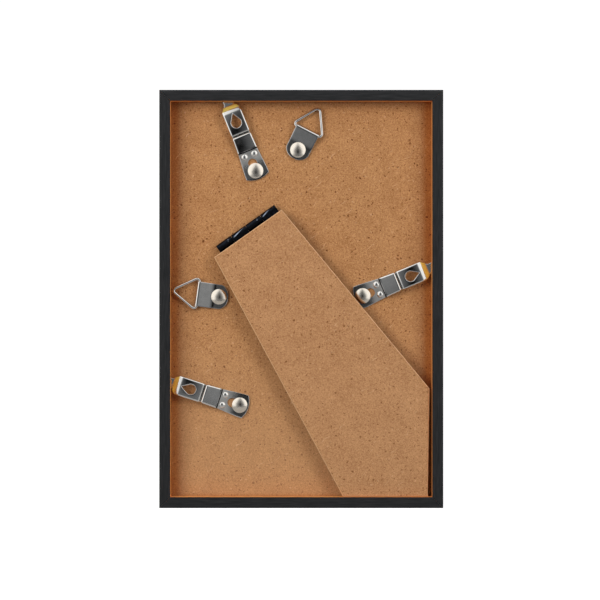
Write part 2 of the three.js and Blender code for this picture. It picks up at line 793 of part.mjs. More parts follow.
function strut() {
  const underZ = barrelDiameter + 2 * seatGap;
  let solid = solidOf(board(strutOutline(), strutThickness, strutChamfer).translate(0, 0, underZ));
  const pocketDepth = prongHeight + prongFit;
  for (const spot of prongSpots()) {
    const pocket = new THREE.BoxGeometry(prongWidth + 2 * prongFit, leafSheet + 2 * prongFit, 2 * pocketDepth);
    const place = hingeToPanel(spot);
    pocket.rotateZ(radians(strutTurn)).translate(place.x, place.y, barrelDiameter + seatGap);
    solid = solid.subtract(solidOf(pocket));
  }
  return named("easel_strut", geometryOf(solid), strutBoard);
}

// Back panel, with a counterbored hole for each rivet

function backPanel() {
  const outline = rectangle(rebateWidth - 2 * layClearance, rebateHeight - 2 * layClearance);
  let solid = solidOf(board(outline, panelThickness, panelChamfer).translate(0, 0, -panelThickness));
  const large = [...clips, ...hangers].map((spot) => ({ x: spot.x, y: spot.y, shank: rivetShank }));
  const small = hingeRivetSpots()
    .map(hingeToPanel)
    .map((spot) => ({ x: spot.x, y: spot.y, shank: hingeRivetShank }));
  for (const spot of [...large, ...small]) {
    const place = new THREE.Matrix4().makeTranslation(spot.x, spot.y, 0);
    solid = solid.subtract(rivetHole(spot.shank).transform(place.elements));
  }
  return named("back_panel", geometryOf(solid), panelBoard);
}

// Assembly, lying on its face

const onPanel = new THREE.Group();
onPanel.position.z = panelBackZ;
onPanel.add(backPanel(), springClips(), hangerSets(), hinge(), strut());

const layer = rectangle(rebateWidth - 2 * layClearance, rebateHeight - 2 * layClearance);
const pane = named("glazing_pane", board(layer, paneThickness, paneChamfer), clearPane);
pane.position.z = paneZ;
const card = named("insert_card", prism(layer, 0, cardThickness), blankCard);
card.position.z = cardZ;

const lying = new THREE.Group();
lying.add(rails(), pane, card, onPanel);
lying.rotation.x = Math.PI / 2;
lying.position.set(0, frameDepth / 2, outerHeight / 2);

const pictureFrame = new THREE.Group();
pictureFrame.add(lying);

export default pictureFrame;
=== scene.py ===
import bmesh
import bpy
import numpy as np
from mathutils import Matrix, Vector
from mathutils.geometry import delaunay_2d_cdt


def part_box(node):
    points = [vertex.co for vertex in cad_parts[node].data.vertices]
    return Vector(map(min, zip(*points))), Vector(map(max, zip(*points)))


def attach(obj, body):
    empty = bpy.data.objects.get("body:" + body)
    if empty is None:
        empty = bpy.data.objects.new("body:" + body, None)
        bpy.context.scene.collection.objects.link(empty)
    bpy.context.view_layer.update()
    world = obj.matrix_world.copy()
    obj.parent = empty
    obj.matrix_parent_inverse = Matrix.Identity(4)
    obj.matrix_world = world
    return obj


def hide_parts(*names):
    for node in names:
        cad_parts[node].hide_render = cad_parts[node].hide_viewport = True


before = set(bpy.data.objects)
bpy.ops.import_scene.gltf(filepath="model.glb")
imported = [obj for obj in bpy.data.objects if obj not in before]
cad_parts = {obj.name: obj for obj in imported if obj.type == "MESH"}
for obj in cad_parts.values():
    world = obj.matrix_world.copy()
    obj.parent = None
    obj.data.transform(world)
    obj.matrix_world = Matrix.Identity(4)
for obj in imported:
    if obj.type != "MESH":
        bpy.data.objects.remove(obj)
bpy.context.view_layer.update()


# Frame rails: four lengths of fibreboard moulding wrapped in black wood-grain foil, mitred and glued.
# The foil ends at the back rim, so the rebate wall inside it is raw brown board, a little fuller above
# the groove than below.

rail_depth = 15.0
rail_wall = 4.0
rail_rim = 4.3
rail_lip = 8.5
rail_lip_thickness = 3.0
rim_round = 0.3
back_round = 0.7
front_round = 1.2
lip_round = 0.8
groove_floor = 1.59
groove_low = 8.75
groove_high = 10.15
frame_width = 110.0
frame_height = 162.0
mitre_gap = 0.06


def linear(colour):
    """An sRGB hex colour as linear RGBA."""
    srgb = np.array([int(colour[i:i + 2], 16) for i in (1, 3, 5)]) / 255
    channels = np.where(srgb <= 0.04045, srgb / 12.92, ((srgb + 0.055) / 1.055) ** 2.4)
    return (*channels.tolist(), 1.0)


def bare_material(name):
    """An empty node material."""
    material = bpy.data.materials.new(name)
    material.use_nodes = True
    material.node_tree.nodes.clear()
    return material


def add_node(material, kind, inputs, **settings):
    """Adds one node with its settings; each input gets a value or a link from a socket."""
    node = material.node_tree.nodes.new(kind)
    for name, value in settings.items():
        setattr(node, name, value)
    for name, value in inputs.items():
        if isinstance(value, bpy.types.NodeSocket):
            material.node_tree.links.new(value, node.inputs[name])
        else:
            node.inputs[name].default_value = value
    return node


def arc(middle, radius, start, end, steps=8):
    """Points on a circle about middle, from one angle to another in degrees."""
    turn = np.radians(np.linspace(start, end, steps + 1))
    return np.stack([middle[0] + radius * np.cos(turn), middle[1] + radius * np.sin(turn)], axis=1)


def swept(rings, closed=False):
    """A closed profile carried along a path: rings[i, j] is profile point j at station i. Neighbouring
    rings are joined by quads, and an open path is capped at both ends."""
    stations, around = rings.shape[:2]
    i, j = np.meshgrid(np.arange(stations if closed else stations - 1), np.arange(around), indexing="ij")
    far = (i + 1) % stations
    beside = (j + 1) % around
    corners = [i * around + j, i * around + beside, far * around + beside, far * around + j]
    blocks = [np.stack(corners, axis=-1).reshape(-1, 4)]
    if not closed:
        blocks.append(np.arange(around)[None, ::-1])
        blocks.append(np.arange((stations - 1) * around, stations * around)[None, :])
    return rings.reshape(-1, 3), blocks


def piece(name, shells, finishes, sharp=35):
    """Joins shells, each its points in millimetres and blocks of faces, into one object at the origin,
    shaded smooth except where faces meet at more than the sharp angle."""
    points = np.concatenate([shell[0] for shell in shells]) / 1000
    faces = []
    start = 0
    for shell_points, blocks in shells:
        for block in blocks:
            faces += (block + start).tolist()
        start += len(shell_points)
    mesh = bpy.data.meshes.new(name)
    mesh.from_pydata(points.tolist(), [], faces)
    working = bmesh.new()
    working.from_mesh(mesh)
    bmesh.ops.recalc_face_normals(working, faces=working.faces)
    working.to_mesh(mesh)
    working.free()
    mesh.polygons.foreach_set("use_smooth", np.ones(len(mesh.polygons), dtype=bool))
    mesh.set_sharp_from_angle(angle=np.radians(sharp))
    for finish in finishes:
        mesh.materials.append(finish)
    made = bpy.data.objects.new(name, mesh)
    bpy.context.scene.collection.objects.link(made)
    return made


def moulding_section():
    """The moulding's outline as (distance in from the outer edge, height above the front face),
    started on the raw side of the lip; the raw stretch comes first and the foil after it."""
    raw = np.array([
        [rail_lip, rail_lip_thickness],
        [rail_wall, rail_lip_thickness],
        [rail_wall, groove_low],
        [groove_floor, groove_low],
        [groove_floor, groove_high],
        [rail_rim, groove_high],
        [rail_rim, rail_depth - rim_round],
    ])
    foil = np.concatenate([
        arc((rail_rim - rim_round, rail_depth - rim_round), rim_round, 0, 90, 5)[1:],
        arc((back_round, rail_depth - back_round), back_round, 90, 180),
        arc((front_round, front_round), front_round, 180, 270),
        arc((rail_lip - lip_round, lip_round), lip_round, 270, 360),
    ])
    return np.concatenate([raw, foil]), len(raw)


# Black paper foil with a printed and pressed open grain, satin: charcoal with faint streaks that run
# along the rail, 7 mm long and about half a millimetre wide.
streaks_per_mm = (0.14, 1.9, 1.0)
rail_foil = bare_material("black_wood_grain_foil")
grain_run = add_node(rail_foil, "ShaderNodeAttribute", {}, attribute_name="grain_run")
grain_stretch = add_node(
    rail_foil, "ShaderNodeVectorMath",
    {0: grain_run.outputs["Vector"], 1: streaks_per_mm}, operation="MULTIPLY",
)
grain_streaks = add_node(
    rail_foil, "ShaderNodeTexNoise",
    {"Vector": grain_stretch.outputs[0], "Scale": 1.0, "Detail": 4.0, "Roughness": 0.62},
)
grain_level = add_node(
    rail_foil, "ShaderNodeMapRange",
    {"Value": grain_streaks.outputs["Fac"], "From Min": 0.36, "From Max": 0.66},
)
foil_colour = add_node(
    rail_foil, "ShaderNodeMix",
    {0: grain_level.outputs[0], 6: linear("#18191a"), 7: linear("#2a2a2b")}, data_type="RGBA",
)
foil_bump = add_node(
    rail_foil, "ShaderNodeBump",
    {"Height": grain_streaks.outputs["Fac"], "Strength": 0.25, "Distance": 0.00006},
)
foil_shader = add_node(
    rail_foil, "ShaderNodeBsdfPrincipled",
    {
        "Base Color": foil_colour.outputs[2], "Roughness": 0.55, "Specular IOR Level": 0.2,
        "Normal": foil_bump.outputs[0],
    },
)
add_node(rail_foil, "ShaderNodeOutputMaterial", {"Surface": foil_shader.outputs[0]})


def strewn(board, lay, density, lot, rare, reach, soft, cover, under, colour):
    """Flecks of one colour strewn over the colour under them. The plane is split into cells about random
    points, density of them along one unit of lay. A cell whose lot, one of three drawn for it, is above
    rare has a fleck about its point, the wider the higher the lot, up to reach, with a soft rim."""
    cells = add_node(
        board, "ShaderNodeTexVoronoi",
        {"Vector": lay, "Scale": density, "Randomness": 1.0}, voronoi_dimensions="2D",
    )
    lots = add_node(board, "ShaderNodeSeparateColor", {"Color": cells.outputs["Color"]})
    size = add_node(
        board, "ShaderNodeMapRange",
        {"Value": lots.outputs[lot], "From Min": rare, "From Max": 1.0, "To Max": reach},
    )
    inside = add_node(
        board, "ShaderNodeMath",
        {0: size.outputs[0], 1: cells.outputs["Distance"]}, operation="SUBTRACT",
    )
    mask = add_node(
        board, "ShaderNodeMapRange",
        {"Value": inside.outputs[0], "From Min": 0.0, "From Max": soft, "To Max": cover},
    )
    mixed = add_node(
        board, "ShaderNodeMix", {0: mask.outputs[0], 6: under, 7: linear(colour)}, data_type="RGBA",
    )
    return mixed.outputs[2]


def upright(board, vector):
    """A flat pattern's two axes, across and up the frame, from a vector in the frame's three."""
    axes = add_node(board, "ShaderNodeSeparateXYZ", {0: vector})
    flat = add_node(board, "ShaderNodeCombineXYZ", {0: axes.outputs[0], 1: axes.outputs[2]})
    return flat.outputs[0]


def fibreboard(
    name, ground, shade, fleck, pale, edge, painted_low_light=0.0, painted_edge_shade="#ffffff", half_width=200.0, foot=-200.0,
):
    """Raw fibreboard pressed from brown wood fibre, matt: an even ground mottled over some 8 mm and
    frayed at half a millimetre, with dark bark flecks, a few pale ones, pale hairs 4 mm long and a
    lighter sawn edge. The last 4 mm to the sheet's two sides and a little at its foot are darkened and
    browned as painted shade of the rebate walls, and the tone is painted paler towards the lower end as
    painted light from below. A board whose sides and foot are left far off has no painted edge shade."""
    patches_per_mm = 0.13
    fibres_per_mm = 2.2
    frays_per_mm = 0.8
    fray = 2.2
    flecks_per_mm = 0.62
    specks_per_mm = 0.6
    comb = 6.0
    hair_cell = (11.0, 0.65, 1.0)
    hair_lean = 0.75
    low_light_start = 95.0
    low_light_end = 10.0
    edge_shade_inner = 5.0
    edge_shade_full = 1.6
    board = bare_material(name)
    place = add_node(board, "ShaderNodeTexCoord", {})
    millimetres = add_node(
        board, "ShaderNodeVectorMath",
        {0: place.outputs["Object"], 1: (1000, 1000, 1000)}, operation="MULTIPLY",
    )
    bend = add_node(
        board, "ShaderNodeTexNoise",
        {"Vector": millimetres.outputs[0], "Scale": frays_per_mm, "Detail": 3.0, "Roughness": 0.6},
    )
    bent = add_node(
        board, "ShaderNodeVectorMath",
        {0: bend.outputs["Color"], 1: (fray, fray, fray), 2: millimetres.outputs[0]},
        operation="MULTIPLY_ADD",
    )
    mottle = add_node(
        board, "ShaderNodeTexNoise",
        {"Vector": millimetres.outputs[0], "Scale": patches_per_mm, "Detail": 3.0, "Roughness": 0.55},
    )
    fibre = add_node(
        board, "ShaderNodeTexNoise",
        {"Vector": bent.outputs[0], "Scale": fibres_per_mm, "Detail": 3.0, "Roughness": 0.7},
    )
    tone = add_node(
        board, "ShaderNodeMath",
        {0: mottle.outputs["Fac"], 1: 0.2, 2: fibre.outputs["Fac"]}, operation="MULTIPLY_ADD",
    )
    tone_level = add_node(
        board, "ShaderNodeMapRange",
        {"Value": tone.outputs[0], "From Min": 0.47, "From Max": 0.72},
    )
    ground_colour = add_node(
        board, "ShaderNodeMix",
        {0: tone_level.outputs[0], 6: linear(shade), 7: linear(ground)}, data_type="RGBA",
    )
    laid = upright(board, bent.outputs[0])
    flecked = strewn(
        board, laid, density=flecks_per_mm, lot=0, rare=0.3, reach=0.22, soft=0.08, cover=0.85,
        under=ground_colour.outputs[2], colour=fleck,
    )
    specked = strewn(
        board, laid, density=specks_per_mm, lot=1, rare=0.72, reach=0.24, soft=0.1, cover=0.42,
        under=flecked, colour=pale,
    )
    combed = add_node(
        board, "ShaderNodeVectorMath",
        {0: mottle.outputs["Color"], 1: (comb, comb, comb), 2: millimetres.outputs[0]},
        operation="MULTIPLY_ADD",
    )
    hair_lay = upright(board, combed.outputs[0])
    hair_turn = add_node(
        board, "ShaderNodeMapping",
        {"Vector": hair_lay, "Rotation": (0, 0, hair_lean), "Scale": hair_cell}, vector_type="TEXTURE",
    )
    haired = strewn(
        board, hair_turn.outputs[0], density=1.0, lot=2, rare=0.88, reach=0.22, soft=0.1, cover=0.6,
        under=specked, colour=pale,
    )
    facing = add_node(
        board, "ShaderNodeVectorMath",
        {0: place.outputs["Normal"], 1: (0, 1, 0)}, operation="DOT_PRODUCT",
    )
    flatness = add_node(board, "ShaderNodeMath", {0: facing.outputs["Value"]}, operation="ABSOLUTE")
    edge_mask = add_node(
        board, "ShaderNodeMapRange",
        {"Value": flatness.outputs[0], "From Min": 0.95, "From Max": 0.72},
    )
    sawn = add_node(
        board, "ShaderNodeMix",
        {0: edge_mask.outputs[0], 6: haired, 7: linear(edge)}, data_type="RGBA",
    )
    flat_axes = add_node(board, "ShaderNodeSeparateXYZ", {0: millimetres.outputs[0]})
    # Painted light: the colour is mixed towards the pale colour towards the sheet's lower end, standing
    # in for light from below.
    low_light_ramp = add_node(
        board, "ShaderNodeMapRange",
        {
            "Value": flat_axes.outputs[2], "From Min": low_light_start, "From Max": low_light_end,
            "To Max": painted_low_light,
        },
        interpolation_type="SMOOTHSTEP",
    )
    low_lit = add_node(
        board, "ShaderNodeMix",
        {0: low_light_ramp.outputs[0], 6: sawn.outputs[2], 7: linear(pale)}, data_type="RGBA",
    )
    # Painted shade: near the sheet's two sides and its foot the colour is multiplied darker and browner,
    # standing in for the shade of the rebate walls.
    aside = add_node(board, "ShaderNodeMath", {0: flat_axes.outputs[0]}, operation="ABSOLUTE")
    side_inset = add_node(
        board, "ShaderNodeMath", {0: half_width, 1: aside.outputs[0]}, operation="SUBTRACT",
    )
    foot_inset = add_node(
        board, "ShaderNodeMath", {0: flat_axes.outputs[2], 1: foot}, operation="SUBTRACT",
    )
    nearest = add_node(
        board, "ShaderNodeMath",
        {0: side_inset.outputs[0], 1: foot_inset.outputs[0]}, operation="MINIMUM",
    )
    edge_shade_mask = add_node(
        board, "ShaderNodeMapRange",
        {"Value": nearest.outputs[0], "From Min": edge_shade_inner, "From Max": edge_shade_full},
        interpolation_type="SMOOTHSTEP",
    )
    colour = add_node(
        board, "ShaderNodeMix",
        {0: edge_shade_mask.outputs[0], 6: low_lit.outputs[2], 7: linear(painted_edge_shade)},
        data_type="RGBA", blend_type="MULTIPLY",
    )
    bump = add_node(
        board, "ShaderNodeBump",
        {"Height": fibre.outputs["Fac"], "Strength": 0.3, "Distance": 0.00012},
    )
    shader = add_node(
        board, "ShaderNodeBsdfPrincipled",
        {
            "Base Color": colour.outputs[2], "Roughness": 0.85, "Specular IOR Level": 0.3,
            "Normal": bump.outputs[0],
        },
    )
    add_node(board, "ShaderNodeOutputMaterial", {"Surface": shader.outputs[0]})
    return board


# The same board inside the moulding, sawn and left raw: a deeper orange brown.
rebate_board = fibreboard(
    "sawn_rebate_board", "#f0a656", "#da8f44", "#a05c26", "#f4bc7c", "#eea254",
)


def rail(name, length, reach, turn):
    """The moulding section carried from mitre to mitre: at each end a point stops short of the corner
    by its own distance in. The rail is turned about the middle of the frame to its side."""
    section, raw_points = moulding_section()
    inward = section[:, 0]
    ends = np.array([-1.0, 1.0])[:, None] * (length / 2 - inward - mitre_gap / 2)
    outward = np.broadcast_to(reach - inward, ends.shape)
    angle = np.radians(turn)
    x = ends * np.cos(angle) - outward * np.sin(angle)
    z = ends * np.sin(angle) + outward * np.cos(angle) + frame_height / 2
    y = np.broadcast_to(rail_depth / 2 - section[:, 1], ends.shape)
    made = piece(name, [swept(np.stack([x, y, z], axis=-1))], [rail_foil, rebate_board])
    around = np.cumsum(np.hypot(*np.diff(section, axis=0, prepend=section[:1]).T))
    run = np.stack([ends, np.broadcast_to(around, ends.shape), np.full(ends.shape, reach)], axis=-1)
    marks = made.data.attributes.new("grain_run", "FLOAT_VECTOR", "POINT")
    marks.data.foreach_set("vector", run.astype(np.float32).ravel())
    strip = np.arange(len(made.data.polygons))
    raw_faces = (strip < raw_points - 1) | (strip >= len(section) - 1)
    made.data.polygons.foreach_set("material_index", raw_faces.astype(np.int32))
    return made


for side, length, reach, turn in (
    ("top", frame_width, frame_height / 2, 0),
    ("left", frame_height, frame_width / 2, 90),
    ("bottom", frame_width, frame_height / 2, 180),
    ("right", frame_height, frame_width / 2, 270),
):
    made = rail(f"rail_{side}", length, reach, turn)
    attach(made, "frame")
    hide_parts(f"frame_rail_{side}")


# Corner nails: V-shaped strips of plain steel, shot across each mitre below the back of the rails.
# They are rolled strip, a dull grey with fine drawn lines 0.2 mm apart.

lines_per_metre = (300, 5000, 5000)
plain_steel = bare_material("drawn_plain_steel")
steel_place = add_node(plain_steel, "ShaderNodeTexCoord", {})
steel_lines = add_node(
    plain_steel, "ShaderNodeVectorMath",
    {0: steel_place.outputs["Object"], 1: lines_per_metre}, operation="MULTIPLY",
)
steel_drawn = add_node(
    plain_steel, "ShaderNodeTexNoise",
    {"Vector": steel_lines.outputs[0], "Scale": 1.0, "Detail": 2.0},
)
steel_colour = add_node(
    plain_steel, "ShaderNodeMix",
    {0: steel_drawn.outputs["Fac"], 6: linear("#7d7f82"), 7: linear("#9da0a3")}, data_type="RGBA",
)
steel_gloss = add_node(
    plain_steel, "ShaderNodeMapRange",
    {"Value": steel_drawn.outputs["Fac"], "To Min": 0.3, "To Max": 0.5},
)
steel_shader = add_node(
    plain_steel, "ShaderNodeBsdfPrincipled",
    {"Base Color": steel_colour.outputs[2], "Metallic": 1.0, "Roughness": steel_gloss.outputs[0]},
)
add_node(plain_steel, "ShaderNodeOutputMaterial", {"Surface": steel_shader.outputs[0]})


def dress(node, finish):
    """Gives a CAD node its finish in place of the plain one that it came with."""
    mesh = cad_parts[node].data
    mesh.materials.clear()
    mesh.materials.append(finish)


for corner in ("top_right", "top_left", "bottom_left", "bottom_right"):
    dress(f"corner_nail_{corner}", plain_steel)


# Pane: float glass laid in the rebate on the front lip, 1.6 mm thick with ground edges.
# Float glass is clear and faintly green, and carries a little dust and wiping haze.

haze_per_metre = 45.0
pane_glass = bare_material("clear_float_glass")
glass_place = add_node(pane_glass, "ShaderNodeTexCoord", {})
glass_haze = add_node(
    pane_glass, "ShaderNodeTexNoise",
    {"Vector": glass_place.outputs["Object"], "Scale": haze_per_metre, "Detail": 3.0},
)
glass_gloss = add_node(
    pane_glass, "ShaderNodeMapRange",
    {
        "Value": glass_haze.outputs["Fac"], "From Min": 0.35, "From Max": 0.8,
        "To Min": 0.01, "To Max": 0.05,
    },
)
glass_shader = add_node(
    pane_glass, "ShaderNodeBsdfPrincipled",
    {
        "Base Color": linear("#f4fbf8"), "Roughness": glass_gloss.outputs[0],
        "IOR": 1.52, "Transmission Weight": 1.0,
    },
)
add_node(pane_glass, "ShaderNodeOutputMaterial", {"Surface": glass_shader.outputs[0]})
dress("glazing_pane", pane_glass)


# Insert card: a blank sheet of uncoated card that fills the pane until a print goes in.
# Card is a warm white with a cloudy look-through over 3 mm and a fine tooth.

clouds_per_metre = 330.0
insert_card = bare_material("uncoated_card")
card_place = add_node(insert_card, "ShaderNodeTexCoord", {})
card_cloud = add_node(
    insert_card, "ShaderNodeTexNoise",
    {
        "Vector": card_place.outputs["Object"], "Scale": clouds_per_metre,
        "Detail": 4.0, "Roughness": 0.6,
    },
)
card_colour = add_node(
    insert_card, "ShaderNodeMix",
    {0: card_cloud.outputs["Fac"], 6: linear("#e9e5da"), 7: linear("#f3f1ea")}, data_type="RGBA",
)
card_tooth = add_node(
    insert_card, "ShaderNodeBump",
    {"Height": card_cloud.outputs["Fac"], "Strength": 0.15, "Distance": 0.00005},
)
card_shader = add_node(
    insert_card, "ShaderNodeBsdfPrincipled",
    {"Base Color": card_colour.outputs[2], "Roughness": 0.85, "Normal": card_tooth.outputs[0]},
)
add_node(insert_card, "ShaderNodeOutputMaterial", {"Surface": card_shader.outputs[0]})
dress("insert_card", insert_card)


# Back panel: a sheet of raw brown fibreboard, 2.5 mm thick, laid loose in the rebate over the card
# and held by the three clips. The rivets of clips, hangers and hinge are clinched through it.

# The panel's colour carries painted shade beside the rebate walls, and painted light that makes it paler
# towards its lower end.
panel_board = fibreboard(
    "raw_brown_fibreboard", "#c6925f", "#99663c", "#5f2a0c", "#dcb388", "#b07d50",
    painted_low_light=0.2, painted_edge_shade="#e6c69c", half_width=frame_width / 2 - rail_wall, foot=0.9,
)
dress("back_panel", panel_board)
panel_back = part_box("back_panel")[0][1] * 1000


# Easel strut: a leg of the same fibreboard, sawn with one foot for a portrait picture and one for
# a landscape picture, hung from its slanting top edge. Its sawn edges are paler than its faces.

# The strut's colour is painted a little paler towards its lower end, painted light from below.
strut_board = fibreboard(
    "sawn_brown_fibreboard", "#c89668", "#a06e45", "#74431f", "#d4ac82", "#deb284", painted_low_light=0.06,
)
dress("easel_strut", strut_board)


# Strut hinge: two stamped leaves with two rolled knuckles each on a steel pin, gloss black lacquer.
# The lower leaf is riveted to the panel, the upper one has two prongs that bite into the strut.

hinge_length = 27.8
hinge_radius = 1.5
hinge_sheet = 0.6
hinge_reach = 13.0
hinge_corner = 2.0
hinge_lift = 0.1
hinge_top = hinge_lift + 2 * hinge_radius
pin_height = hinge_lift + hinge_radius
knuckle_count = 4
knuckle_pitch = hinge_length / knuckle_count
knuckle_gap = 0.14
knuckle_soft = 0.12
knuckle_bore_soft = 0.05
leaf_clearance = 0.3
prong_width = 2.0
prong_point = 0.3
prong_length = 1.8
prong_place = 9.0
strut_turn = 35.3
hinge_x = -21.035
hinge_up = 27.43


def on_panel(shell, x, up, heading):
    """A shell in a part's own axes (x across, y ahead, z off the panel) turned until y heads at that
    angle as seen from the back, and set at x, up from the panel's middle."""
    points, blocks = shell
    turn = np.radians(heading - 90)
    across = x + points[:, 0] * np.cos(turn) - points[:, 1] * np.sin(turn)
    upward = up + points[:, 0] * np.sin(turn) + points[:, 1] * np.cos(turn)
    return np.stack([across, panel_back - points[:, 2], upward + frame_height / 2], axis=1), blocks


def knuckle_ends(place):
    """Where a knuckle starts and ends along the pin, places counted from 0: an equal share of the
    hinge, less half a gap on each side that has a neighbour."""
    start = place * knuckle_pitch - hinge_length / 2
    end = start + knuckle_pitch
    return (
        start + knuckle_gap / 2 * (place > 0),
        end - knuckle_gap / 2 * (place < knuckle_count - 1),
    )


def knuckle(place):
    """A rolled knuckle: a flat ring section with softened outer edges, turned once about the pin."""
    start, end = knuckle_ends(place)
    bore = hinge_radius - hinge_sheet
    shoulder = hinge_radius - knuckle_soft
    ridge = np.linspace(end - knuckle_soft, start + knuckle_soft, 24)[1:-1]
    outline = np.concatenate([
        [[start + knuckle_bore_soft, bore], [end - knuckle_bore_soft, bore]],
        arc((end - knuckle_soft, shoulder), knuckle_soft, 0, 90, 4),
        np.stack([ridge, np.full(len(ridge), hinge_radius)], axis=1),
        arc((start + knuckle_soft, shoulder), knuckle_soft, 90, 180, 4),
    ])
    turn = np.linspace(0, 2 * np.pi, 48, endpoint=False)[:, None]
    along = np.broadcast_to(outline[:, 0], (len(turn), len(outline)))
    ahead = outline[:, 1] * np.cos(turn)
    height = outline[:, 1] * np.sin(turn) + pin_height
    return swept(np.stack([along, ahead, height], axis=-1), closed=True)


def leaf_plate(side, low, high):
    """The flat of a leaf with its rounded free corners and a tab to each knuckle, between two heights.
    Side is 1 for the leaf on the panel and -1 for the same stamping turned over."""
    half = hinge_length / 2
    near = -hinge_radius - leaf_clearance
    low_corner = hinge_corner - hinge_reach
    first_end = knuckle_ends(0)[1]
    third_start, third_end = knuckle_ends(2)
    outline = np.concatenate([
        [[-half, 0.0]],
        arc((hinge_corner - half, low_corner), hinge_corner, 180, 270),
        arc((half - hinge_corner, low_corner), hinge_corner, 270, 360),
        [[half, near], [third_end, near], [third_end, 0.0], [third_start, 0.0], [third_start, near]],
        [[first_end, near], [first_end, 0.0]],
    ])
    heights = np.array([low, high])[:, None]
    x = np.broadcast_to(side * outline[:, 0], (2, len(outline)))
    y = np.broadcast_to(outline[:, 1], (2, len(outline)))
    return swept(np.stack([x, y, np.broadcast_to(heights, x.shape)], axis=-1))


def prong(x):
    """A pointed prong: a flat rectangle that narrows as it rises from the middle of the sheet."""
    foot = np.array([[-1, -1], [1, -1], [1, 1], [-1, 1]]) * [prong_width / 2, hinge_sheet / 2]
    taper = np.array([[1.0, 1.0], [prong_point, 1.0]])
    flat = foot[None] * taper[:, None] + np.array([x, hinge_corner - hinge_reach])
    rise = hinge_top - hinge_sheet / 2 + np.array([0.0, prong_length])
    return swept(np.concatenate([flat, np.broadcast_to(rise[:, None, None], (2, 4, 1))], axis=-1))


def ramp(past, width):
    """0 up to a line, and from there evenly up to 1 over a width."""
    return np.clip(past / width, 0, 1)


def glint_lines(points):
    """Painted glints: how strongly uncovered metal shows through the lacquer, one thin line on each
    knuckle laid where its highlight falls, which wanders round the pin as it runs along and thins out, a
    bell curve in the angle; nothing off the knuckles' outer skin."""
    starts = np.array([-8.9, -6.3, 4.9, 7.4])
    lengths = np.array([0.6, 5.4, 0.5, 4.0])
    first_angle = 84
    wander = 44
    spread = 5.0
    height = points[:, 2] - pin_height
    turn = np.degrees(np.arctan2(height, points[:, 1]))
    skin = np.abs(np.hypot(points[:, 1], height) - hinge_radius) < 0.02
    own = np.floor((points[:, 0] + hinge_length / 2) / knuckle_pitch).astype(int)
    own = np.clip(own, 0, knuckle_count - 1)
    far = (points[:, 0] - starts[own]) / lengths[own]
    taper = ramp(far, 0.125) * ramp(1 - far, 0.625)
    return skin * taper * np.exp(-((turn - first_angle + wander * far) / spread) ** 2)


# Gloss lacquer sprayed on steel: near black and smooth over dents about 2.4 mm apart, with painted
# glints: a few short lines of bluish uncovered metal laid where the highlights fall.
dents_per_metre = 420.0
black_lacquer = bare_material("black_gloss_lacquer")
lacquer_place = add_node(black_lacquer, "ShaderNodeTexCoord", {})
lacquer_dents = add_node(
    black_lacquer, "ShaderNodeTexNoise",
    {"Vector": lacquer_place.outputs["Object"], "Scale": dents_per_metre, "Detail": 1.0},
)
lacquer_colour = add_node(
    black_lacquer, "ShaderNodeMix",
    {0: lacquer_dents.outputs["Fac"], 6: linear("#050607"), 7: linear("#101216")}, data_type="RGBA",
)
lacquer_bump = add_node(
    black_lacquer, "ShaderNodeBump",
    {"Height": lacquer_dents.outputs["Fac"], "Strength": 1.0, "Distance": 0.0006},
)
# Painted glints: thin lines of bluish metal in place of the lacquer, laid where the knuckles' highlights
# fall.
lacquer_glints = add_node(black_lacquer, "ShaderNodeAttribute", {}, attribute_name="glint_lines")
lacquer_glinted = add_node(
    black_lacquer, "ShaderNodeMix",
    {0: lacquer_glints.outputs["Fac"], 6: lacquer_colour.outputs[2], 7: linear("#b4bfd0")},
    data_type="RGBA",
)
lacquer_shader = add_node(
    black_lacquer, "ShaderNodeBsdfPrincipled",
    {
        "Base Color": lacquer_glinted.outputs[2], "Metallic": lacquer_glints.outputs["Fac"],
        "Roughness": 0.16, "Specular IOR Level": 0.14,
        "Specular Tint": linear("#c4d8ff"), "Normal": lacquer_bump.outputs[0],
    },
)
add_node(black_lacquer, "ShaderNodeOutputMaterial", {"Surface": lacquer_shader.outputs[0]})


def mark(made, name, amount):
    """Gives a piece one number per point, which its material reads by this name."""
    marks = made.data.attributes.new(name, "FLOAT", "POINT")
    marks.data.foreach_set("value", amount.astype(np.float32))


panel_shells = [knuckle(0), knuckle(2), leaf_plate(1, hinge_lift, hinge_lift + hinge_sheet)]
strut_shells = [knuckle(3), knuckle(1), leaf_plate(-1, hinge_top - hinge_sheet, hinge_top)]
strut_shells += [prong(-prong_place), prong(prong_place)]
for holder, body, shells in (("panel", "frame", panel_shells), ("strut", "strut", strut_shells)):
    placed = [on_panel(shell, hinge_x, hinge_up, 90 + strut_turn) for shell in shells]
    leaf = piece(f"hinge_leaf_{holder}", placed, [black_lacquer])
    # Each leaf carries the painted glint lines of its knuckles.
    mark(leaf, "glint_lines", np.concatenate([glint_lines(points) for points, blocks in shells]))
    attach(leaf, body)
    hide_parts(f"hinge_{holder}_leaf")
dress("hinge_pin", black_lacquer)
dress("hinge_rivet_lower", plain_steel)
dress("hinge_rivet_upper", plain_steel)


# Spring clips: tongues of spring steel stamped, bent and nickel plated. Each turns and slides on its
# rivet along a slot; the crease and the rolled edges stiffen the leaf, the tip goes under the rail.

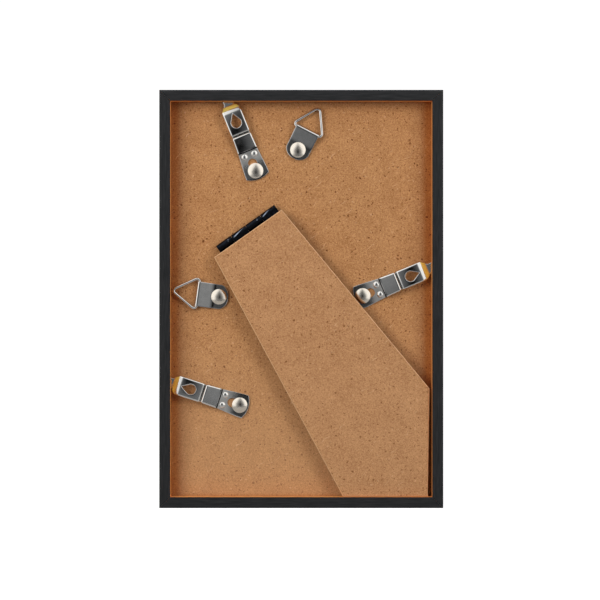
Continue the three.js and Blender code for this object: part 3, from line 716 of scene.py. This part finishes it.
clip_sheet = 0.6
clip_tail_half = 4.6
clip_tail_corner = -2.2
clip_tail_bow = 1.3
clip_base_height = 0.4
clip_base_flat = 4.4
clip_base_bow = 0.03
clip_step = 8.3
clip_step_top = 8.5
clip_step_middle = (clip_step + clip_step_top) / 2
clip_step_height = 1.42
clip_step_half = 3.85
clip_crease = 15.1
clip_crease_start = 14.3
clip_crease_end = 15.9
clip_crease_rim = 2.7
clip_crease_floor = 1.8
clip_leaf_half = 3.6
clip_leaf_bow = 0.0118
clip_crest = 24.1
clip_crest_height = 3.32
clip_bend = 25.283
clip_facet = 25.35
clip_facet_height = 3.0
clip_neck_foot = 27.1
clip_neck = 28.083
clip_tip_half = 1.75
clip_tip_height = 1.8
clip_reach = 29.983
slot_radius = 1.78
slot_travel = 3.2
drop_radius = 2.1
drop_point = clip_bend - 1.3
drop_middle = drop_point - 4.0
drop_lean = np.arcsin(drop_radius / (drop_point - drop_middle))
dimple_across = 2.05
dimple_along = 6.5
dimple_ball = 1.48
dimple_sunk = 0.93
clip_pitch = 0.14

clip_base = np.linspace(clip_base_flat, clip_step, 8)
clip_leaf = np.linspace(clip_crease_end, clip_crest, 12)
clip_route = np.concatenate([
    [[-6.0, clip_base_height]],
    np.stack([clip_base, clip_base_height + clip_base_bow * (clip_base - clip_base_flat) ** 2], axis=1),
    [[clip_step_top, clip_step_height]],
    [[clip_crease_start, clip_crease_rim], [clip_crease, clip_crease_floor]],
    np.stack([clip_leaf, clip_crest_height - clip_leaf_bow * (clip_crest - clip_leaf) ** 2], axis=1),
    [[clip_facet, clip_facet_height]],
    [[clip_neck_foot, clip_tip_height], [clip_reach + 2.0, clip_tip_height]],
])
clip_halves = np.array([
    [clip_tail_corner - clip_tail_bow, clip_tail_half],
    [0.0, clip_tail_half],
    [clip_step, clip_step_half],
    [clip_crease_start, clip_leaf_half],
    [clip_bend, clip_leaf_half],
    [clip_neck, clip_tip_half],
    [clip_reach, clip_tip_half],
])


def paced(corners, pitch):
    """A polyline walked at an even pitch, with every corner kept."""
    far = np.concatenate([[0], np.cumsum(np.hypot(*np.diff(corners, axis=0).T))])
    stops = np.union1d(np.arange(0, far[-1], pitch), far)
    return np.stack([np.interp(stops, far, corners[:, 0]), np.interp(stops, far, corners[:, 1])], axis=1)


def clip_tail(across):
    """How far back the tail's edge lies: a shallow parabola between its two corners."""
    return clip_tail_corner - clip_tail_bow * (1 - (across / clip_tail_half) ** 2)


def clip_loops():
    """The flat blank as three closed loops: outline with a curved tail, slot and drop-shaped hole."""
    across = np.linspace(-clip_tail_half, clip_tail_half, 25)
    tail = np.stack([across, clip_tail(across)], axis=1)
    right = clip_halves[1:, ::-1]
    left = right[::-1] * [-1, 1]
    outline = paced(np.concatenate([tail, right, left, tail[:1]]), clip_pitch)[:-1]
    slot = np.concatenate([
        arc((0, slot_travel), slot_radius, 0, 180, 24),
        arc((0, 0), slot_radius, 180, 360, 24),
        [[slot_radius, slot_travel]],
    ])
    lean = np.degrees(drop_lean)
    drop = np.concatenate([
        [[0, drop_point]],
        arc((0, drop_middle), drop_radius, 180 - lean, 360 + lean, 36),
        [[0, drop_point]],
    ])
    return outline, paced(slot, clip_pitch)[:-1], paced(drop, clip_pitch)[:-1]


def in_clip_hole(across, along):
    """Which points lie in the slot, a stadium, or in the drop, a circle and the cone up to its point."""
    slot = np.hypot(across, along - np.clip(along, 0, slot_travel)) < slot_radius
    ball = np.hypot(across, along - drop_middle) < drop_radius
    above = along > drop_middle + drop_radius * np.sin(drop_lean)
    cone = above & (np.abs(across) < (drop_point - along) * np.tan(drop_lean))
    return slot | ball | cone


def from_dimple(across, along):
    """Distance to the middle of the nearer one of the two dimples."""
    return np.hypot(np.abs(across) - dimple_across, along - dimple_along)


def clip_height(across, along, drop):
    """Height of the sheet's middle: the bent route averaged over each bend but the sharp step, a slight
    crown, edges and the rim of the drop hole bevelled down, and two dimples, caps of a ball."""
    bend_reach = 0.2
    crown_drop = 0.1
    base_bevel = 0.05
    leaf_bevel = 0.15
    bevel_width = 0.34
    rim_drop = 0.08
    rim_width = 0.2
    off_step = np.clip(np.abs(along - clip_step_middle) / 0.3 - 0.5, 0, 1)
    spread = np.linspace(-bend_reach, bend_reach, 9) * off_step[:, None]
    height = np.interp(along[:, None] + spread, clip_route[:, 0], clip_route[:, 1]).mean(axis=1)
    half = np.interp(along, clip_halves[:, 0], clip_halves[:, 1])
    inset = np.minimum(half - np.abs(across), along - clip_tail(across))
    leaf = ramp(along - clip_step_middle, 0.6) * ramp(clip_bend + 0.4 - along, 0.6)
    bevel = (base_bevel + leaf_bevel * leaf) * np.clip(1 - inset / bevel_width, 0, 1) ** 1.25
    crown = crown_drop * leaf * (across / clip_leaf_half) ** 2
    from_drop = np.hypot(across[:, None] - drop[:, 0], along[:, None] - drop[:, 1]).min(axis=1)
    rim = rim_drop * np.clip(1 - from_drop / rim_width, 0, 1)
    ball = np.sqrt(np.clip(dimple_ball ** 2 - from_dimple(across, along) ** 2, 0, None))
    return height - bevel - crown - rim + np.clip(ball - dimple_sunk, 0, None)


def clip_shell():
    """The blank filled with a lattice of points, every other row moved by half a pitch and one row along
    each edge of the step, triangulated inside its loops and lifted to the sheet's height; triangles in
    the two holes are left out."""
    outline, slot, drop = clip_loops()
    margin = clip_pitch / 2
    first_row = -3.4
    last_row = clip_reach - 0.05
    row_pitch = 0.866 * clip_pitch
    step_clear = 0.17
    widest = 4.5
    lines = np.arange(first_row, last_row, row_pitch)
    lines = lines[np.abs(lines - clip_step_middle) > step_clear]
    lines = np.sort(np.append(lines, [clip_step, clip_step_top]))
    columns, rows = np.meshgrid(np.arange(-widest, widest + 0.01, clip_pitch), lines)
    columns[::2] += clip_pitch / 2
    lattice = np.stack([columns.ravel(), rows.ravel()], axis=1)
    half = np.interp(lattice[:, 1], clip_halves[:, 0], clip_halves[:, 1])
    beside = np.abs(lattice[:, 0]) < half - margin
    kept = beside & (lattice[:, 1] > clip_tail(lattice[:, 0]) + margin)
    loops = [outline, slot, drop]
    starts = np.cumsum([0] + [len(loop) for loop in loops])
    edges = [
        np.stack([np.arange(len(loop)), np.roll(np.arange(len(loop)), -1)], axis=1) + start
        for loop, start in zip(loops, starts)
    ]
    flat = np.concatenate([*loops, lattice[kept]])
    made = delaunay_2d_cdt(flat.tolist(), np.concatenate(edges).tolist(), [], 2, 1e-6)
    plan = np.array(made[0])
    triangles = np.array(made[2])
    middle = plan[triangles].mean(axis=1)
    triangles = triangles[~in_clip_hole(middle[:, 0], middle[:, 1])]
    used, triangles = np.unique(triangles, return_inverse=True)
    plan = plan[used]
    height = clip_height(plan[:, 0], plan[:, 1], drop)
    return np.column_stack([plan, height]), [triangles.reshape(-1, 3)]


def clip_marks(across, along):
    """How strongly each mark shows, with a ramp at its ends: a painted reflection of the raw rebate
    wall, pale yellow, on the slope of the neck, painted shade in the fold at the foot of the step, and
    scuffing from the rivet up to the step round the dimples."""
    wall_reflection_start = clip_facet - 0.1
    wall_reflection_end = clip_neck_foot - 0.15
    step_shade_half = 0.26
    fold = clip_step + 0.01
    scuff_start = 1.0
    scuff_ramp = 3.5
    scuff_end = clip_step - 0.1
    dimple_edge = 1.095
    # Painted reflection: pale yellow on the neck's slope, where the raw rebate wall is mirrored.
    wall_reflection = ramp(along - wall_reflection_start, 0.3) * ramp(wall_reflection_end - along, 0.2)
    # Painted shade: a near-black line in the fold at the foot of the step.
    step_shade = ramp(step_shade_half - np.abs(along - fold), 0.06)
    scuff = ramp(along - scuff_start, scuff_ramp) * ramp(scuff_end - along, 0.2)
    beside_dimple = ramp(from_dimple(across, along) - dimple_edge, 0.15)
    return {"wall_reflection": wall_reflection, "step_shade": step_shade, "scuff": scuff * beside_dimple}


def nickel(name, smooth, dull, deep, pale):
    """Nickel plate on steel: a slightly warm mirror with a faint haze between two roughnesses and a
    shallow waviness about 2 mm long. A less metallic pale yellow is painted where the raw rebate wall
    is mirrored, a painted reflection, a near-black line is painted in a fold as painted shade, and a
    part that rubs on it scuffs it dull."""
    waves_per_metre = 480.0
    plate = bare_material(name)
    place = add_node(plate, "ShaderNodeTexCoord", {})
    waves = add_node(
        plate, "ShaderNodeTexNoise",
        {
            "Vector": place.outputs["Object"], "Scale": waves_per_metre,
            "Detail": 3.0, "Roughness": 0.55,
        },
    )
    gloss = add_node(
        plate, "ShaderNodeMapRange",
        {
            "Value": waves.outputs["Fac"], "From Min": 0.3, "From Max": 0.75,
            "To Min": smooth, "To Max": dull,
        },
    )
    scuff = add_node(plate, "ShaderNodeAttribute", {}, attribute_name="scuff")
    worn = add_node(
        plate, "ShaderNodeMath",
        {0: scuff.outputs["Fac"], 1: 0.28, 2: gloss.outputs[0]}, operation="MULTIPLY_ADD",
    )
    colour = add_node(
        plate, "ShaderNodeMix",
        {0: waves.outputs["Fac"], 6: linear(deep), 7: linear(pale)}, data_type="RGBA",
    )
    # Painted reflection: a pale yellow, less metallic colour where the raw rebate wall is mirrored.
    wall_reflection = add_node(plate, "ShaderNodeAttribute", {}, attribute_name="wall_reflection")
    wall_reflected = add_node(
        plate, "ShaderNodeMix",
        {0: wall_reflection.outputs["Fac"], 6: colour.outputs[2], 7: linear("#f0de74")}, data_type="RGBA",
    )
    # Painted shade: a near-black line in the fold at the foot of the step.
    step_shade = add_node(plate, "ShaderNodeAttribute", {}, attribute_name="step_shade")
    step_shaded = add_node(
        plate, "ShaderNodeMix",
        {0: step_shade.outputs["Fac"], 6: wall_reflected.outputs[2], 7: linear("#101012")}, data_type="RGBA",
    )
    # The metal is made less metallic where the reflection is painted.
    mirror_share = add_node(
        plate, "ShaderNodeMath", {0: wall_reflection.outputs["Fac"], 1: -0.6, 2: 1.0}, operation="MULTIPLY_ADD",
    )
    bump = add_node(
        plate, "ShaderNodeBump",
        {"Height": waves.outputs["Fac"], "Strength": 0.06, "Distance": 0.00006},
    )
    shader = add_node(
        plate, "ShaderNodeBsdfPrincipled",
        {
            "Base Color": step_shaded.outputs[2], "Metallic": mirror_share.outputs[0],
            "Roughness": worn.outputs[0], "Normal": bump.outputs[0],
        },
    )
    add_node(plate, "ShaderNodeOutputMaterial", {"Surface": shader.outputs[0]})
    return plate


nickel_plate = nickel("bright_nickel_plate", 0.07, 0.17, "#cac8c2", "#dad8d3")

clip_stations = (
    ("top", -17.8, 50.0, 112.0),
    ("right", 24.0, 1.2, 22.5),
    ("left", -24.0, -41.4, 161.9),
)
clip_tongue = clip_shell()
# Per-point marks: painted reflection, painted shade and real scuffing.
clip_scuff_and_painted_light = clip_marks(clip_tongue[0][:, 0], clip_tongue[0][:, 1])
for side, x, up, heading in clip_stations:
    clip = piece(f"clip_{side}", [on_panel(clip_tongue, x, up, heading)], [nickel_plate], sharp=60)
    for name, amount in clip_scuff_and_painted_light.items():
        mark(clip, name, amount)
    wall = clip.modifiers.new("sheet", "SOLIDIFY")
    wall.thickness = clip_sheet / 1000
    wall.offset = 0.0
    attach(clip, f"{side}_clip")
    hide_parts(f"spring_clip_{side}")


# Rivets of clips and hangers: turned nickel-plated steel with a domed head, clinched in a counterbore
# at the panel's front. The clip rivets are set loose so that the clip can turn.

rivet_head = 3.0
rivet_cap = 0.85
rivet_skirt = 0.25
rivet_bevel = 0.15
rivet_bevel_height = 0.12
rivet_shank = 1.5
rivet_clinch = 2.4
rivet_clinch_low = -2.4
rivet_clinch_high = -2.05
rivet_cone_top = -1.7
clip_rivet_grip = 0.8
hanger_rivet_grip = 1.0


def rivet_shell(grip):
    """The rivet's half section carried once round its axis, from the clinched tail to the dome's top,
    a cap of a ball. Grip is the height of the head's underside above the panel."""
    ball = (rivet_head ** 2 + rivet_cap ** 2) / (2 * rivet_cap)
    dome_edge = np.degrees(np.arccos(rivet_head / ball))
    dome = arc((0, grip + rivet_skirt + rivet_cap - ball), ball, dome_edge, 89.8, 20)
    half = np.concatenate([
        [[0.02, rivet_clinch_low], [rivet_clinch, rivet_clinch_low], [rivet_clinch, rivet_clinch_high]],
        [[rivet_shank, rivet_cone_top], [rivet_shank, grip]],
        [[rivet_head - rivet_bevel, grip], [rivet_head, grip + rivet_bevel_height]],
        dome,
    ])
    turn = np.linspace(0, 2 * np.pi, 56, endpoint=False)
    rings = np.stack([
        half[:, :1] * np.cos(turn),
        half[:, :1] * np.sin(turn),
        np.broadcast_to(half[:, 1:], (len(half), len(turn))),
    ], axis=-1)
    return swept(rings)


satin_nickel = nickel("satin_nickel_plate", 0.17, 0.26, "#cdc4b6", "#ddd5c8")

hanger_stations = (
    ("top", -1.3, 58.1, 63.0),
    ("left", -32.1, 0.85, 172.0),
)
clip_rivet = rivet_shell(clip_rivet_grip)
for side, x, up, heading in clip_stations:
    rivet = piece(f"rivet_clip_{side}", [on_panel(clip_rivet, x, up, heading)], [satin_nickel])
    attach(rivet, f"{side}_clip_turn")
    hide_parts(f"clip_rivet_{side}")
hanger_rivet = rivet_shell(hanger_rivet_grip)
for side, x, up, heading in hanger_stations:
    rivet = piece(f"rivet_hanger_{side}", [on_panel(hanger_rivet, x, up, heading)], [satin_nickel])
    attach(rivet, "frame")
    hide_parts(f"hanger_rivet_{side}")


# Hanger straps: a strip of nickel-plated steel folded double round the ring's wire, so that both
# ends lie together under the rivet. The fold is rolled close to the wire.

strap_sheet = 0.4
strap_half = 4.7
strap_flare = 0.05
strap_end = 3.6
strap_last_row = 3.57
strap_slope = 14.1
strap_upper = 0.7
strap_lower = 0.3
strap_bend_reach = 0.9
strap_roll = 0.05
strap_roll_width = 0.4
fold_at = 8.05
fold_height = 1.2
fold_middle = 0.88


def net(rows):
    """A sheet over two parameters: rows[i, j] joined by quads, open at all four sides."""
    count, across = rows.shape[:2]
    i, j = np.meshgrid(np.arange(count - 1), np.arange(across - 1), indexing="ij")
    corners = [i * across + j, i * across + j + 1, (i + 1) * across + j + 1, (i + 1) * across + j]
    return rows.reshape(-1, 3), [np.stack(corners, axis=-1).reshape(-1, 4)]


def strap_shell():
    """The strip's middle line, from its upper end over the fold to its lower end, carried across its
    width, which narrows to a half ellipse at the rivet end; from the rivet's shank the upper layer rises
    straight to the top of the fold, and its edges are rolled down."""
    steepness = np.tan(np.radians(strap_slope))
    tail = -strap_last_row * np.cos(np.linspace(0, np.pi / 2, 14))
    over = arc((fold_at, fold_height), fold_middle, 90 + strap_slope, -90, 36)
    upper = np.concatenate([tail, np.linspace(0, over[0, 0], 27)[1:-1]])
    foot = over[0, 0] - (over[0, 1] - strap_upper) / steepness
    spread = np.linspace(-strap_bend_reach, strap_bend_reach, 13)
    rise = np.clip(upper[:, None] + spread - foot, 0, None).mean(axis=1) * steepness
    lower = np.concatenate([np.linspace(fold_at, 0, 12)[1:-1], tail[::-1]])
    line = np.concatenate([
        np.stack([upper, strap_upper + rise], axis=1),
        over,
        np.stack([lower, np.full(len(lower), strap_lower)], axis=1),
    ])
    along = line[:, 0]
    rounded = strap_half * np.sqrt(np.clip(1 - (along / strap_end) ** 2, 0, 1))
    half = np.where(along < 0, rounded, strap_half + strap_flare * along / fold_at)
    share = np.sin(np.linspace(-np.pi / 2, np.pi / 2, 41))
    across = half[:, None] * share
    inset = half[:, None] - np.abs(across)
    top = (np.arange(len(line)) < len(upper) + len(over) // 2)[:, None]
    roll = strap_roll * top * np.clip(1 - inset / strap_roll_width, 0, 1) ** 2
    return net(np.stack([
        across, np.broadcast_to(along[:, None], across.shape), line[:, 1:] - roll,
    ], axis=-1))


strap_strip = strap_shell()
for side, x, up, heading in hanger_stations:
    strap = piece(f"strap_{side}", [on_panel(strap_strip, x, up, heading)], [nickel_plate], sharp=60)
    wall = strap.modifiers.new("sheet", "SOLIDIFY")
    wall.thickness = strap_sheet / 1000
    wall.offset = 0.0
    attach(strap, f"{side}_hanger")
    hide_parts(f"hanger_strap_{side}")


# Hanger rings: nickel-plated wire, 1.1 mm thick, bent to a triangle whose two ends meet in the fold
# of the strap, where the ring swings.

ring_wire = 1.1
ring_corner = 4.5
ring_point = 8.45
ring_bend = 1.2
ring_gap = 0.6
ring_height = 1.25


def ring_shell():
    """A circle of wire carried round a triangle with three bends, from one end in the fold to the
    other; the normal in the ring's plane is the path's direction turned by a right angle."""
    lean = np.degrees(np.arctan2(ring_corner, ring_point - ring_bend))
    line = np.concatenate([
        [[ring_gap / 2, 0.0]],
        arc((ring_corner, ring_bend), ring_bend, -90, lean, 16),
        arc((0, ring_point), ring_bend, lean, 180 - lean, 20),
        arc((-ring_corner, ring_bend), ring_bend, 180 - lean, 270, 16),
        [[-ring_gap / 2, 0.0]],
    ])
    line = paced(line, 0.4)
    ahead = np.gradient(line, axis=0)
    ahead /= np.linalg.norm(ahead, axis=1, keepdims=True)
    turn = np.linspace(0, 2 * np.pi, 20, endpoint=False)
    out = ring_wire / 2 * np.cos(turn)
    rise = ring_wire / 2 * np.sin(turn)
    x = line[:, :1] + ahead[:, 1:] * out
    y = line[:, 1:] - ahead[:, :1] * out + fold_at
    return swept(np.stack([x, y, np.broadcast_to(rise + ring_height, x.shape)], axis=-1))


ring_loop = ring_shell()
for side, x, up, heading in hanger_stations:
    ring = piece(f"ring_{side}", [on_panel(ring_loop, x, up, heading)], [nickel_plate], sharp=60)
    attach(ring, f"{side}_ring")
    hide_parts(f"hanger_ring_{side}")


# Studio: a white paper sweep that is floor and backdrop, a softbox at each side, a soft top light, and
# a tent of white cloth with a slit for the camera, which looks square at the back of the frame.

paper_white = bare_material("white_paper_sweep")
paper_rays = add_node(paper_white, "ShaderNodeLightPath", {})
paper_seen = add_node(
    paper_white, "ShaderNodeMath",
    {0: paper_rays.outputs["Is Camera Ray"], 1: paper_rays.outputs["Is Transmission Ray"]},
    operation="MAXIMUM",
)
paper_mirrored = add_node(
    paper_white, "ShaderNodeMath",
    {0: paper_rays.outputs["Is Glossy Ray"], 1: 0.3}, operation="MULTIPLY",
)
paper_lift = add_node(
    paper_white, "ShaderNodeMath",
    {0: paper_seen.outputs[0], 1: 0.97, 2: paper_mirrored.outputs[0]}, operation="MULTIPLY_ADD",
)
paper_shader = add_node(
    paper_white, "ShaderNodeBsdfPrincipled",
    {
        "Base Color": linear("#a8a8a8"), "Roughness": 0.9, "Specular IOR Level": 0.0,
        "Emission Color": linear("#ffffff"), "Emission Strength": paper_lift.outputs[0],
    },
)
add_node(paper_white, "ShaderNodeOutputMaterial", {"Surface": paper_shader.outputs[0]})

sweep_half = 2600.0
sweep_front = -2200.0
sweep_back = 1500.0
sweep_top = 2600.0
sweep_round = 500.0
sweep_line = np.concatenate([
    [[sweep_front, 0.0]],
    arc((sweep_back - sweep_round, sweep_round), sweep_round, -90, 0, 16),
    [[sweep_back, sweep_top]],
])
sweep_shape = (len(sweep_line), 2)
sweep_rows = np.stack([
    np.broadcast_to(np.array([sweep_half, -sweep_half]), sweep_shape),
    np.broadcast_to(sweep_line[:, :1], sweep_shape),
    np.broadcast_to(sweep_line[:, 1:], sweep_shape),
], axis=-1)
sweep = piece("paper_sweep", [net(sweep_rows)], [paper_white])

target = Vector((0.0, 0.0, frame_height / 2000))


def softbox(name, place, width, height, power):
    """A lamp with a rectangular window that faces the frame. Reflections show the tent, not the lamp."""
    lamp = bpy.data.lights.new(name, "AREA")
    lamp.shape = "RECTANGLE"
    lamp.size = width
    lamp.size_y = height
    lamp.energy = power
    made = bpy.data.objects.new(name, lamp)
    made.location = place
    made.rotation_euler = (target - Vector(place)).to_track_quat("-Z", "Y").to_euler()
    made.visible_glossy = False
    bpy.context.scene.collection.objects.link(made)


softbox("softbox_left", (-0.59, -0.61, 0.31), 0.46, 0.38, 4.6)
softbox("softbox_right", (0.61, -0.63, 0.33), 0.46, 0.38, 3.4)
softbox("softbox_top", (0.0, -0.5, 0.8), 0.8, 0.4, 1.55)

# White tent cloth lit from outside: bright at the sides and above, falling off to the dark slit that
# the camera looks through and to the front edge of the table. It shows in reflections only.
tent_radius = 420.0
tent_table_back = -117.0
tent_table_height = 2.0
tent_cloth = bare_material("white_tent_cloth")
tent_place = add_node(tent_cloth, "ShaderNodeTexCoord", {})
tent_axes = add_node(tent_cloth, "ShaderNodeSeparateXYZ", {0: tent_place.outputs["Object"]})
tent_side = add_node(tent_cloth, "ShaderNodeMath", {0: tent_axes.outputs[0]}, operation="ABSOLUTE")
tent_rise = add_node(
    tent_cloth, "ShaderNodeMapRange",
    {"Value": tent_axes.outputs[2], "From Min": 0.1, "From Max": 0.5, "To Max": 0.2},
)
tent_near = add_node(
    tent_cloth, "ShaderNodeMapRange",
    {"Value": tent_axes.outputs[1], "From Min": -0.38, "From Max": -0.2, "To Max": 0.085},
)
tent_higher = add_node(
    tent_cloth, "ShaderNodeMath", {0: tent_side.outputs[0], 1: tent_rise.outputs[0]}, operation="ADD",
)
tent_reach = add_node(
    tent_cloth, "ShaderNodeMath", {0: tent_higher.outputs[0], 1: tent_near.outputs[0]}, operation="ADD",
)
tent_share = add_node(
    tent_cloth, "ShaderNodeMapRange",
    {"Value": tent_reach.outputs[0], "From Min": 0.022, "From Max": 0.36},
)
tent_haze = add_node(
    tent_cloth, "ShaderNodeMath", {0: tent_share.outputs[0], 1: 0.75}, operation="POWER",
)
tent_bright = add_node(
    tent_cloth, "ShaderNodeMapRange",
    {"Value": tent_reach.outputs[0], "From Min": 0.17, "From Max": 0.3, "To Max": 0.75},
    interpolation_type="SMOOTHSTEP",
)
tent_glow = add_node(
    tent_cloth, "ShaderNodeMath",
    {0: tent_haze.outputs[0], 1: 0.72, 2: tent_bright.outputs[0]}, operation="MULTIPLY_ADD",
)
tent_tint = add_node(
    tent_cloth, "ShaderNodeMix",
    {0: tent_share.outputs[0], 6: linear("#e2e6ee"), 7: linear("#ffffff")}, data_type="RGBA",
)
tent_shader = add_node(
    tent_cloth, "ShaderNodeEmission", {"Color": tent_tint.outputs[2], "Strength": tent_glow.outputs[0]},
)
add_node(tent_cloth, "ShaderNodeOutputMaterial", {"Surface": tent_shader.outputs[0]})


def tent_dome():
    """The front half of a ball about the frame: one angle to the side, one up from the table."""
    side, up = np.meshgrid(np.radians(np.linspace(-88, 88, 45)), np.radians(np.linspace(-12, 100, 29)))
    away = np.stack([np.sin(side), -np.cos(side) * np.cos(up), np.cos(side) * np.sin(up)], axis=-1)
    return net(tent_radius * away + np.array([0, 0, frame_height / 2]))


tent_table = net(np.array([
    [[x, y, tent_table_height] for x in (-tent_radius, tent_radius)]
    for y in (tent_table_back, -tent_radius)
]))
tent = piece("light_tent", [tent_dome(), tent_table], [tent_cloth])
tent.visible_camera = False
tent.visible_diffuse = False
tent.visible_transmission = False
tent.visible_shadow = False

room = bpy.data.worlds.new("studio_room")
room.use_nodes = True
room.node_tree.nodes.clear()
room_rays = add_node(room, "ShaderNodeLightPath", {})
room_glow = add_node(
    room, "ShaderNodeMapRange",
    {"Value": room_rays.outputs["Is Camera Ray"], "To Min": 0.065, "To Max": 1.0},
)
room_shader = add_node(
    room, "ShaderNodeBackground", {"Color": linear("#ffffff"), "Strength": room_glow.outputs[0]},
)
add_node(room, "ShaderNodeOutputWorld", {"Surface": room_shader.outputs[0]})
bpy.context.scene.world = room

view_distance = 900.0
view_width = 232.2
view_aside = -0.485
view_height = 80.6
lens = bpy.data.cameras.new("camera")
lens.sensor_width = 36.0
lens.lens = lens.sensor_width * view_distance / view_width
lens.clip_end = 20.0
camera = bpy.data.objects.new("camera", lens)
camera.location = np.array([view_aside, -view_distance - rail_depth / 2, view_height]) / 1000
camera.rotation_euler = (np.pi / 2, 0.0, 0.0)
bpy.context.scene.collection.objects.link(camera)
bpy.context.scene.camera = camera
bpy.context.scene.view_settings.view_transform = "Standard"
